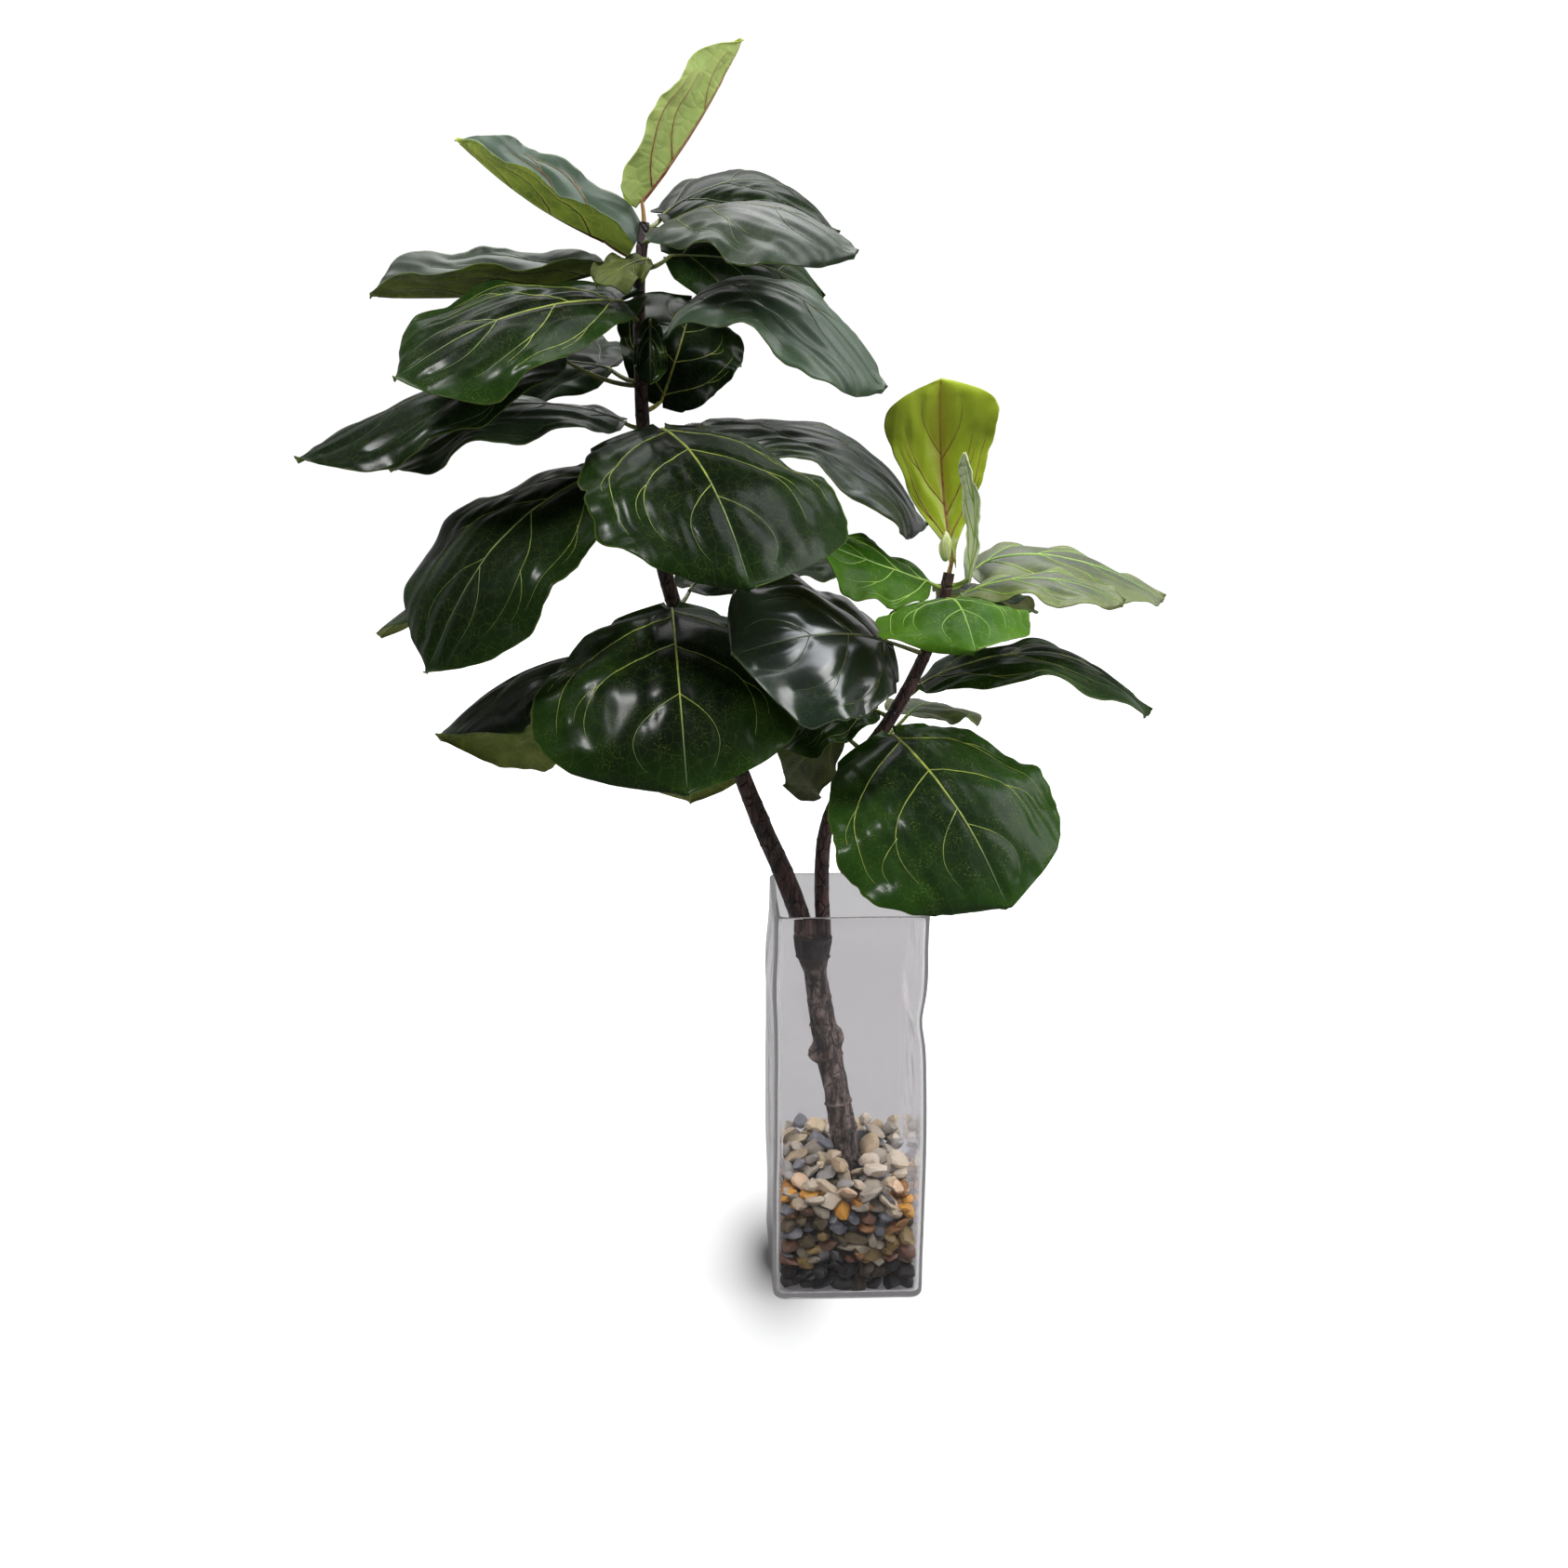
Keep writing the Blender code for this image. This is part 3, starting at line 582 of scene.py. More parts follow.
def makePebbles(beds, sizes):
    places, radii = settlePebbles(sizes)
    deselectAll()
    bpy.ops.mesh.primitive_ico_sphere_add(subdivisions=2, radius=1.0)
    model = bpy.context.object
    corners = readPoints(model.data)
    faces = np.array([list(face.vertices) for face in model.data.polygons])
    bpy.data.objects.remove(model)
    for name, bed in beds.items():
        chance = np.random.default_rng(bed["seed"])
        level = places[:, 2] + chance.normal(0, 0.0025, len(places))
        inside = (level >= bed["low"]) & (level < bed["high"])
        shapes, tones = [], []
        for spot, radius in zip(places[inside], radii[inside]):
            shapes.append(shapePebble(corners, spot, radius, sizes, chance))
            share = (spot[2] - bed["low"]) / (bed["high"] - bed["low"])
            mixed = bed["mixed"]
            tones.append(min(max(mixed * chance.uniform(0, 1) + (1 - mixed) * share, 0.0), 0.999))
        mesh = bpy.data.meshes.new(name)
        allFaces = (faces[None] + (np.arange(len(shapes)) * len(corners))[:, None, None]).reshape(-1, 3)
        mesh.from_pydata(np.concatenate(shapes).tolist(), [], allFaces.tolist())
        paint(mesh, stoneTone=np.repeat(tones, len(corners)))
        obj = addObject(name, mesh)
        activate(obj)
        bpy.ops.object.shade_smooth_by_angle(angle=math.radians(28))
        obj.data.materials.append(stoneMaterial(name, bed))
        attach(obj, "root")
        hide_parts(*bed["nodes"])


def stoneMaterial(name, bed):
    gleam, colours = bed["gleam"], bed["colours"]
    stone, shader = newMaterial(name, {"Roughness": gleam, "Specular IOR Level": bed["shine"]})
    stops = [(n / len(colours), colour) for n, colour in enumerate(colours)]
    shade = ramp(stone, attribute(stone, "stoneTone"), stops, "CONSTANT")
    grain = noiseOf(stone, objectPlace(stone), 130.0, 5.0, 0.7)
    cloud = noiseOf(stone, objectPlace(stone), 45.0, 2.0)
    shade = mix(stone, span(stone, cloud, 0.35, 0.7, 0.0, 0.45), shade, (0.5, 0.42, 0.34), "OVERLAY")
    shade = mix(stone, span(stone, grain, 0.45, 0.75, 0.0, 0.35), shade, (0.2, 0.17, 0.15), "MULTIPLY")
    link(stone, shade, shader.inputs["Base Color"])
    link(stone, span(stone, grain, 0.3, 0.7, gleam - 0.08, gleam + 0.14), shader.inputs["Roughness"])
    bump(stone, shader, grain, 0.5, 0.0012)
    return stone


makePebbles(pebbleBeds, pebbleSizes)
print("pebbles laid")

# trunk and stems

stems = {
    "trunk": {
        "points": [(0.011, 0.01, 0.0074), (0.011, 0.01, 0.06), (0.008, 0.01, 0.105), (-0.003, 0.004, 0.175),
                   (-0.018, 0.0, 0.25), (-0.027, 0.0, 0.3), (-0.031, 0.0, 0.332), (-0.034, 0.0, 0.354),
                   (-0.034, 0.0, 0.3698)],
        "radii": [0.0155, 0.0155, 0.015, 0.0136, 0.013, 0.0122, 0.012, 0.018, 0.0205],
        "ridges": 0.0021, "scars": 9, "slot": "trunk_bark",
        "knots": [(0.24, -2.85, 0.0125, 0.0085), (0.258, -0.3, 0.0085, 0.0085), (0.29, -1.55, 0.005, 0.0065),
                  (0.205, -2.2, 0.0024, 0.008), (0.222, -1.3, 0.0022, 0.006), (0.335, -1.7, 0.003, 0.007),
                  (0.16, -1.1, 0.0022, 0.007), (0.3, 1.6, 0.0045, 0.008)],
    },
    "tall_stem": {
        "points": [(-0.044, 0.0, 0.365), (-0.044, 0.0, 0.378), (-0.062, 0.0, 0.43), (-0.086, 0.0, 0.485),
                   (-0.11, 0.0, 0.545), (-0.145, 0.008, 0.63), (-0.178, 0.008, 0.72), (-0.198, 0.002, 0.805),
                   (-0.208, 0.0, 0.905), (-0.21, 0.0, 0.97), (-0.21, 0.0, 1.04), (-0.205, 0.0, 1.095)],
        "radii": [0.0105, 0.0108, 0.0106, 0.0098, 0.0088, 0.0083, 0.0078, 0.0073, 0.0068, 0.0063, 0.0058,
                  0.0052],
        "ridges": 0.0006, "scars": 26, "slot": "stem_bark",
        "knots": [(0.56, -1.6, 0.0022, 0.006), (0.64, -2.2, 0.0018, 0.005), (0.5, -0.8, 0.0016, 0.005),
                  (0.76, -1.2, 0.0018, 0.005), (0.99, -1.5, 0.0018, 0.005)],
    },
    "short_stem": {
        "points": [(-0.023, 0.0, 0.365), (-0.023, 0.0, 0.378), (-0.025, 0.0, 0.425), (-0.024, -0.008, 0.475),
                   (-0.015, -0.018, 0.515), (0.01, -0.028, 0.565), (0.04, -0.03, 0.608), (0.07, -0.03, 0.665),
                   (0.088, -0.03, 0.715), (0.096, -0.03, 0.755)],
        "radii": [0.0078, 0.0078, 0.0075, 0.0072, 0.007, 0.0068, 0.0066, 0.0064, 0.0062, 0.0056],
        "ridges": 0.0005, "scars": 16, "slot": "stem_bark",
        "knots": [(0.52, -1.8, 0.0018, 0.005), (0.64, -1.3, 0.0018, 0.005), (0.7, -2.0, 0.0015, 0.004)],
    },
}


def barkMaterial(name, dark, pale, flush, roughness, darkAbove=None):
    bark, shader = newMaterial(name, {"Roughness": roughness})
    place = objectPlace(bark)
    streaks = noiseOf(bark, stretched(bark, place, (1.0, 1.0, 0.30)), 95.0, 7.0, 0.78)
    patches = noiseOf(bark, place, 34.0, 3.0)
    cracks = cellEdges(bark, stretched(bark, place, (1.0, 1.0, 0.45)), 120.0)
    shade = mix(bark, span(bark, streaks, 0.46, 0.57), dark, pale)
    shade = mix(bark, span(bark, patches, 0.50, 0.70, 0.0, 0.8), shade, flush)
    shade = mix(bark, span(bark, cracks, 0.0, 0.09, 0.75, 0.0), shade, tuple(c * 0.4 for c in dark))
    scars = times(bark, attribute(bark, "scarHere"), 0.8)
    shade = mix(bark, scars, shade, tuple(c * 1.6 for c in pale))
    if darkAbove:
        split = addNode(bark, "SeparateXYZ")
        link(bark, place, split.inputs["Vector"])
        shade = mix(bark, span(bark, split.outputs["Z"], *darkAbove, 0.0, 0.9), shade, dark)
    link(bark, shade, shader.inputs["Base Color"])
    link(bark, span(bark, streaks, 0.3, 0.7, roughness + 0.12, roughness - 0.15), shader.inputs["Roughness"])
    bump(bark, shader, mathOf(bark, "ADD", streaks, span(bark, cracks, 0.0, 0.1)), 0.9, 0.0018)
    return bark


def makeStem(name, stem, material, seed):
    line, shares = smoothPath(stem["points"], 0.0022)
    radii = np.interp(shares, range(len(stem["radii"])), stem["radii"])
    obj = tubes(name + "_bark", [(line, radii)], material, 16)
    points = readPoints(obj.data)
    nearest = np.array([np.argmin(((line - p) ** 2).sum(1)) for p in points])
    axis = line[nearest]
    out = points - axis
    reach = np.maximum(np.linalg.norm(out, axis=1), 1e-6)
    angle = np.arctan2(out[:, 1], out[:, 0])
    chance = random.Random(seed)
    scar = np.zeros(len(points))
    height = points[:, 2]
    turnX, turnY = np.cos(angle), np.sin(angle)
    ridges = (noiseAt(turnX * 2.2, turnY * 2.2, height * 22.0 + seed)
              + 0.6 * noiseAt(turnX * 5.5, turnY * 5.5, height * 60.0 + seed))
    rise = stem["ridges"] * ridges
    low, high = line[:, 2].min(), line[:, 2].max()
    for number in range(stem["scars"]):
        level = low + (high - low) * (number + chance.uniform(0.2, 0.8)) / stem["scars"]
        tilt = chance.uniform(-0.004, 0.004)
        band = np.exp(-((height - level - tilt * np.cos(angle + number)) / 0.0014) ** 2)
        rise += band * stem["ridges"] * 0.9
        strength = band * chance.uniform(0.2, 0.7)
        scar = np.maximum(scar, strength * (0.5 + 0.5 * np.cos(angle - chance.uniform(0, 6.3))))
    for level, side, size, spread in stem["knots"]:
        turn = np.angle(np.exp(1j * (angle - side)))
        off = np.hypot(height - level, turn * reach)
        rise += size * np.exp(-(off / spread) ** 2) - size * 0.65 * np.exp(-(off / (spread * 0.42)) ** 2)
        scar = np.maximum(scar, 0.8 * np.exp(-(off / (spread * 0.5)) ** 2))
    ends = np.clip(np.minimum(height - low, high - height) / 0.004, 0.15, 1.0)
    points += out / reach[:, None] * (rise * ends)[:, None]
    writePoints(obj.data, points)
    paint(obj.data, scarHere=scar)
    activate(obj)
    bpy.ops.object.shade_smooth_by_angle(angle=math.radians(60))
    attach(obj, "root")
    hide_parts(name)


trunkBark = barkMaterial("trunkBark", (0.012, 0.008, 0.007), (0.15, 0.11, 0.096), (0.058, 0.032, 0.027), 0.78,
                         darkAbove=(0.335, 0.352))
stemBark = barkMaterial("stemBark", (0.016, 0.007, 0.007), (0.1, 0.046, 0.038), (0.078, 0.024, 0.025), 0.5)
for seed, (name, stem) in enumerate(stems.items(), 21):
    makeStem(name, stem, trunkBark if name == "trunk" else stemBark, seed)
print("stems grown")

# leaves

bladeOutline = [
    (0.0, 0.05), (0.03, 0.3), (0.08, 0.5), (0.16, 0.66), (0.28, 0.78), (0.42, 0.9), (0.56, 0.98),
    (0.68, 1.0), (0.8, 0.94), (0.9, 0.74), (0.96, 0.46), (0.985, 0.24), (1.0, 0.015),
]
leafSizes = {
    # how far the rows crowd towards both ends, and how the edge waves up and down, wanders, and is trimmed
    "crowding": 0.11, "edgeRuffle": 0.0022, "edgeWander": 0.055, "edgeTrim": 0.018,
    # noise scales along and across, for the puckers and the creases, and how high these and the grooves are
    "puckerScale": (38, 45), "creaseScale": (7, 62), "pucker": 0.001, "crease": 2.6, "groove": 0.001,
    "grooveReach": 0.0055, "veinReach": 0.0035,
    "rows": 84, "columns": 64, "blade": 0.0011, "dripTip": 0.03, "petioleRise": 0.35,
    "petioleRadius": 0.0023, "ribRadius": 0.0019, "veinRadius": 0.00076, "twigRadius": 0.0005,
}
sideVeins = {
    "left": [(0.045, 0.8), (0.31, 0.6), (0.6, 0.36)],
    "right": [(0.06, 0.78), (0.27, 0.58), (0.57, 0.38)],
    "bend": 0.16,
}


def leaf(name, look, base, tip, width, face, arch, **shape):
    # one leaf: where it starts and ends, how it faces, its shape, and its tone, crinkle, veins and light;
    # light is a brightness factor on the leaf's colour, partly its own tone and partly painted light and shade
    # for how light falls on that leaf
    values = dict(fold=0, curl=-25, ripple=0.006, lobe=0.05, peak=1.0, belly=1.0, skew=0.0, lean=0.0,
                  young=False, end=False, tone=0.3, crinkle=0.3, veins=1.0, light=1.0)
    values.update(shape, name=name, look=look, base=base, tip=tip, width=width, face=face, arch=arch)
    return values


tallLeaves = [
    leaf("tall_leaf_01", "young", (-0.207, 0.0, 1.115), (-0.112, 0.01, 1.263), 0.086, (-0.8, 0.1, 0.6), -0.006,
         fold=62, curl=-10, ripple=0.003, belly=0.6, young=True, end=True, light=0.85),
    leaf("tall_leaf_02", "limeYoung", (-0.243, -0.02, 1.075), (-0.375, -0.04, 1.16), 0.125, (0.25, -0.42, 1.0),
         -0.008, fold=42, curl=-14, ripple=0.003, lobe=0.18, belly=0.42, young=True, tone=0.0, light=6.2),
    leaf("tall_leaf_03", "old", (-0.185, 0.028, 1.108), (-0.01, 0.098, 1.1), 0.165, (0.15, -0.48, 1.0), 0.045,
         curl=-30, belly=0.85, skew=-0.2, tone=0.1, veins=0.12, light=0.8),
    leaf("tall_leaf_04", "grey", (-0.188, -0.026, 1.086), (-0.015, -0.108, 1.052), 0.165, (0.1, -0.36, 1.0),
         0.032, curl=-42, skew=0.18, tone=0.2, crinkle=0.6, veins=0.25),
    leaf("tall_leaf_05", "old", (-0.18, 0.045, 1.07), (-0.018, 0.173, 1.044), 0.16, (0.1, -0.9, 0.6), 0.02,
         veins=0.3, light=1.6),
    leaf("tall_leaf_06", "lime", (-0.25, 0.022, 1.052), (-0.46, -0.028, 1.022), 0.135, (0.0, -0.3, 1.0), -0.01,
         fold=38, curl=-14, ripple=0.004, tone=0.1, veins=0.1, light=1.4),
    leaf("tall_leaf_07", "old", (-0.225, -0.04, 1.016), (-0.417, -0.142, 0.94), 0.15, (-0.1, -0.75, 0.75),
         0.025, lobe=0.12, lean=0.28, tone=0.5, crinkle=0.4, veins=0.85, light=0.6),
    leaf("tall_leaf_08", "grey", (-0.18, -0.008, 0.996), (0.02, -0.05, 0.935), 0.165, (0.0, -0.45, 1.0), 0.066,
         curl=-34, peak=0.8, tone=0.2, crinkle=1.0, veins=0.2, light=5.0),
    leaf("tall_leaf_09", "yellow", (-0.19, 0.02, 0.925), (-0.16, 0.1, 1.03), 0.145, (0.3, -0.8, 0.5), 0.02,
         tone=0.1, veins=0.7, light=1.4),
    leaf("tall_leaf_10", "old", (-0.243, 0.034, 0.958), (-0.38, 0.205, 0.95), 0.15, (0.0, -0.8, 0.6), 0.02,
         veins=0.15),
    leaf("tall_leaf_11", "old", (-0.295, -0.01, 0.97), (-0.525, -0.07, 0.87), 0.14, (0.0, -0.35, 1.0), 0.01,
         fold=-10, belly=0.9, tone=0.1, veins=0.08, light=0.9),
    leaf("tall_leaf_12", "grey", (-0.23, -0.005, 0.905), (-0.46, 0.02, 0.86), 0.138, (0.0, -0.3, 1.0), 0.036,
         ripple=0.008, lobe=0.03, skew=-0.2, crinkle=1.0, veins=0.15, light=2.2),
    leaf("tall_leaf_13", "old", (-0.188, -0.036, 0.896), (-0.11, -0.2, 0.76), 0.25, (0.2, -0.8, 0.7), 0.03,
         belly=0.9, skew=-0.07, lean=0.35, crinkle=0.28, veins=0.85, light=0.75),
    leaf("tall_leaf_14", "grey", (-0.18, 0.015, 0.9), (0.075, 0.035, 0.8), 0.2, (0.0, -0.3, 1.0), 0.05,
         lobe=0.02, peak=1.3, belly=1.7, tone=0.1, crinkle=1.0, veins=0.18, light=0.9),
    leaf("tall_leaf_15", "old", (-0.245, -0.01, 0.855), (-0.405, -0.11, 0.675), 0.2, (-0.5, -0.7, 0.5), 0.04,
         belly=0.85, skew=0.1, tone=0.25, crinkle=0.35, veins=0.6),
    leaf("tall_leaf_16", "old", (-0.21, 0.05, 0.805), (-0.505, 0.159, 0.674), 0.15, (0.0, -0.1, 1.0), 0.03,
         veins=0.3),
    leaf("tall_leaf_17", "old", (-0.16, 0.05, 0.735), (-0.013, 0.207, 0.765), 0.15, (0.0, -0.4, 1.0), 0.02,
         tone=0.1, veins=0.2),
    leaf("tall_leaf_18", "old", (-0.18, -0.03, 0.72), (-0.165, -0.17, 0.57), 0.265, (0.0, -0.9, 0.6), 0.03,
         belly=0.9, skew=0.12, tone=0.55, crinkle=0.34, light=0.75),
    leaf("tall_leaf_19", "old", (-0.21, 0.01, 0.67), (-0.41, -0.03, 0.595), 0.22, (0.0, 0.5, 0.87), 0.03,
         fold=-35, tone=0.0, veins=0.2),
    leaf("tall_leaf_20", "old", (-0.175, 0.05, 0.675), (-0.165, 0.181, 0.475), 0.17, (0.0, 0.8, 0.6), 0.03),
    leaf("tall_leaf_21", "olive", (-0.201, -0.03, 1.056), (-0.246, -0.072, 1.028), 0.046, (0.0, -0.8, 0.6),
         0.006, tone=0.5, veins=0.6, light=0.6),
    leaf("tall_leaf_22", "old", (-0.199, -0.024, 1.0), (-0.199, -0.04, 0.94), 0.034, (0.0, -1.0, 0.2), 0.004,
         veins=0.2, light=1.2),
]
shortLeaves = [
    leaf("short_leaf_01", "young", (0.099, -0.03, 0.768), (0.085, -0.02, 0.94), 0.118, (0.05, -1.0, 0.0),
         -0.02, fold=20, ripple=0.003, belly=2.2, young=True, end=True, tone=0.2),
    leaf("short_leaf_02", "pale", (0.115, -0.035, 0.75), (0.105, -0.05, 0.87), 0.026, (-0.85, -0.5, 0.0),
         -0.01, fold=30, ripple=0.002, young=True, tone=0.0, light=2.6),
    leaf("short_leaf_03", "fresh", (0.076, -0.03, 0.746), (-0.04, -0.08, 0.79), 0.11, (0.0, -0.6, 0.8), 0.0,
         lobe=0.02, young=True, tone=0.8),
    leaf("short_leaf_04", "fresh", (0.087, -0.05, 0.728), (0.095, -0.17, 0.697), 0.15, (0.0, -0.6, 0.8), 0.02,
         lobe=0.02, belly=0.8, skew=0.1, young=True, tone=1.0),
    leaf("short_leaf_05", "soft", (0.13, 0.0, 0.757), (0.325, 0.02, 0.725), 0.11, (0.0, -0.35, 1.0), 0.027,
         peak=0.75, belly=0.75, young=True, tone=0.35),
    leaf("short_leaf_06", "soft", (0.112, -0.045, 0.737), (0.245, -0.105, 0.733), 0.08, (0.0, -0.3, 1.0), 0.02,
         young=True, tone=0.4),
    leaf("short_leaf_07", "old", (0.12, 0.01, 0.73), (0.19, 0.19, 0.69), 0.12, (0.0, -0.3, 1.0), 0.02,
         veins=0.3),
    leaf("short_leaf_08", "old", (0.075, -0.01, 0.64), (0.315, 0.02, 0.605), 0.12, (0.0, -0.25, 1.0), 0.05,
         tone=0.5, crinkle=0.9, veins=0.5),
    leaf("short_leaf_09", "shiny", (0.03, -0.05, 0.69), (-0.12, -0.14, 0.69), 0.185, (-0.2, -0.85, 0.6), 0.02,
         belly=0.8, tone=0.2, crinkle=0.12, veins=0.3),
    leaf("short_leaf_10", "soft", (0.07, 0.04, 0.6), (0.13, 0.15, 0.585), 0.11, (0.0, -0.2, 1.0), 0.01,
         veins=0.3),
    leaf("short_leaf_11", "old", (0.04, -0.05, 0.595), (0.13, -0.17, 0.46), 0.235, (0.1, -0.9, 0.6), 0.03,
         belly=0.85, skew=0.08, lean=0.15, tone=0.9, crinkle=0.42, light=2.4),
    leaf("short_leaf_12", "old", (0.025, -0.02, 0.615), (-0.075, -0.03, 0.585), 0.09, (0.0, -0.4, 0.9), 0.015,
         tone=0.5, veins=0.5),
    leaf("short_leaf_13", "olive", (-0.01, 0.01, 0.59), (-0.055, 0.11, 0.51), 0.085, (0.0, -0.9, 0.5), 0.01,
         tone=0.8, veins=0.5, light=0.55),
]


def outlineAt(u):
    places, widths = (np.array(row) for row in zip(*bladeOutline))
    slopes = np.diff(widths) / np.diff(places)
    tangents = np.zeros(len(places))
    tangents[0], tangents[-1] = slopes[0], slopes[-1]
    for i in range(1, len(places) - 1):
        before, after = slopes[i - 1], slopes[i]
        tangents[i] = 0 if before * after <= 0 else 2 * before * after / (before + after)
    index = np.clip(np.searchsorted(places, u) - 1, 0, len(places) - 2)
    gap = places[index + 1] - places[index]
    t = (u - places[index]) / gap
    return ((2 * t ** 3 - 3 * t ** 2 + 1) * widths[index] + (t ** 3 - 2 * t ** 2 + t) * gap * tangents[index]
            + (3 * t ** 2 - 2 * t ** 3) * widths[index + 1] + (t ** 3 - t ** 2) * gap * tangents[index + 1])


def halfWidth(item, u, sign):
    return item["width"] / 2 * outlineAt(u ** (item["belly"] * (1 - item["lean"] * sign)))


def bladePlace(item, u, v):
    # places on a blade: u from base to tip, v from one edge at -1 to the other at 1
    u, v = np.broadcast_arrays(np.asarray(u, float), np.asarray(v, float))
    base, tip = np.array(item["base"]), np.array(item["tip"])
    chord = tip - base
    length = np.linalg.norm(chord)
    along = chord / length
    face = np.array(item["face"], float)
    up = unit(face - along * (face @ along))
    side = np.cross(along, up)
    edge, sign = abs(v), np.sign(v)
    place = u - item["lobe"] * edge ** 2 * (1 - u) ** 5

    def lift(at):
        share = np.clip(at, 0, 1) ** item["peak"]
        return item["arch"] * 4 * share * (1 - share)

    slope = (lift(place + 0.001) - lift(place - 0.001)) / (0.002 * length)
    normal = unit(up - along * slope[..., None])
    half = halfWidth(item, u, sign) * (1 + item["skew"] * sign)
    fold, curl = math.radians(item["fold"]), math.radians(item["curl"])
    across = (np.sin(fold + curl * edge) - math.sin(fold)) / curl
    lifted = (math.cos(fold) - np.cos(fold + curl * edge)) / curl
    ripple = item["ripple"] * edge ** 2 * np.sin(5 * math.pi * u + 0.9 * sign) * np.minimum(u * 5, 1)
    reach = place + leafSizes["dripTip"] * u ** 60
    return (base + chord * reach[..., None] + up * lift(place)[..., None]
            + side * (sign * across * half)[..., None] + normal * (lifted * half + ripple)[..., None])


def bladeNormal(item, u, v):
    step = 0.004
    first = bladePlace(item, np.clip(u + step, 0, 1), v) - bladePlace(item, np.clip(u - step, 0, 1), v)
    second = bladePlace(item, u, np.clip(v + step, -1, 1)) - bladePlace(item, u, np.clip(v - step, -1, 1))
    return unit(np.cross(second, first) + 1e-12)


def veinLines(item, chance):
    # the veins as lines in the blade's own u and v, each with its start and end radius
    lines = []
    bend = sideVeins["bend"]
    for sign, starts in ((-1, sideVeins["left"]), (1, sideVeins["right"])):
        for number, (start, out) in enumerate(starts):
            start = start + chance.uniform(-0.03, 0.03)
            out = out * chance.uniform(0.94, 1.05)
            end = min(0.93, start + 0.62 - 0.14 * number)
            u = np.linspace(start, end, 30)
            v = out * np.tanh((u - start) / bend) * (1 + 0.10 * (u - start))
            lines.append((u, sign * v, leafSizes["veinRadius"] * (1 - 0.12 * number), 0.25))
            if number == 2:
                continue
            root = start + chance.uniform(0.17, 0.24)
            rootV = out * math.tanh((root - start) / bend)
            grow = np.linspace(0, 1, 16)
            reach = min(0.92, rootV + chance.uniform(0.17, 0.25))
            v = rootV + (reach - rootV) * np.tanh(grow * 2.2) / math.tanh(2.2)
            lines.append((root + 0.17 * grow, sign * v, leafSizes["twigRadius"], 0.35))
    return lines


def flatten(item, u, v):
    # the blade laid flat, in metres: along the midrib and across it
    length = np.linalg.norm(np.array(item["tip"]) - np.array(item["base"]))
    return np.column_stack([u * length, v * halfWidth(item, u, np.sign(v))])


def bladeDetail(item, u, v, veins, seed):
    # how far the surface rises or sinks: grooves along the veins, puckers between, and long creases
    flatPlaces = flatten(item, u, v)
    nearest = np.abs(flatPlaces[:, 1])
    for lineU, lineV, _, _ in veins:
        line = flatten(item, lineU, lineV)
        for start, end in zip(line, line[1:]):
            way = end - start
            t = np.clip(((flatPlaces - start) @ way) / (way @ way), 0, 1)
            gap = np.linalg.norm(flatPlaces - start - t[:, None] * way, axis=1)
            nearest = np.minimum(nearest, gap)
    size = leafSizes["pucker"] * (0.35 + 0.9 * item["crinkle"])
    x, y = flatPlaces.T
    (softX, softY), (longX, longY) = leafSizes["puckerScale"], leafSizes["creaseScale"]
    soft = noiseAt(x * softX, y * softY, seed)
    ridge = 1.0 - 2.4 * abs(noiseAt(x * longX, y * longY, seed + 9))
    rise = size * soft + leafSizes["pucker"] * leafSizes["crease"] * item["crinkle"] * ridge
    rise -= leafSizes["groove"] * np.exp(-(nearest / leafSizes["grooveReach"]) ** 2)
    rise += 0.0008 * np.clip(nearest / 0.014, 0, 1)
    fade = np.minimum(1, u * 12) * np.clip((1 - u) * 20, 0.1, 1)
    return rise * fade, np.exp(-(nearest / leafSizes["veinReach"]) ** 2)


def stemAt(stem, height):
    line, shares = smoothPath(stem["points"], 0.004)
    height = min(max(height, line[0, 2]), line[-1, 2] - 0.002)
    index = int(np.argmin(abs(line[:, 2] - height)))
    index = min(max(index, 1), len(line) - 2)
    radius = np.interp(shares[index], range(len(stem["radii"])), stem["radii"])
    return line[index], unit(line[index + 1] - line[index - 1]), radius


def petioleLine(item, stem):
    # the stalk's middle line, from inside the stem to the blade
    base = np.array(item["base"])
    if item["end"]:
        line, _ = smoothPath(stem["points"], 0.004)
        outwards = unit(line[-1] - line[-2])
        start = line[-1] - outwards * 0.004
    else:
        centre, direction, radius = stemAt(stem, base[2])
        reach = math.hypot(base[0] - centre[0], base[1] - centre[1])
        centre, direction, radius = stemAt(stem, base[2] - leafSizes["petioleRise"] * reach)
        outwards = base - centre
        outwards = unit(outwards - direction * (outwards @ direction))
        start = centre + outwards * radius * 0.4
    neck = bladePlace(item, 0.0, 0.0)
    bend = start + outwards * np.linalg.norm(neck - start) * 0.4
    t = np.linspace(0, 1, 10)[:, None]
    return (1 - t) ** 2 * start + 2 * t * (1 - t) * bend + t ** 2 * neck


def onBlade(blade, places, height):
    # the nearest places on the blade's sheet, raised by height to its upper side
    found = []
    for place, rise in zip(places, np.broadcast_to(height, len(places))):
        _, spot, normal, _ = blade.closest_point_on_mesh(Vector(place))
        found.append(spot + normal * float(rise))
    return np.array(found)


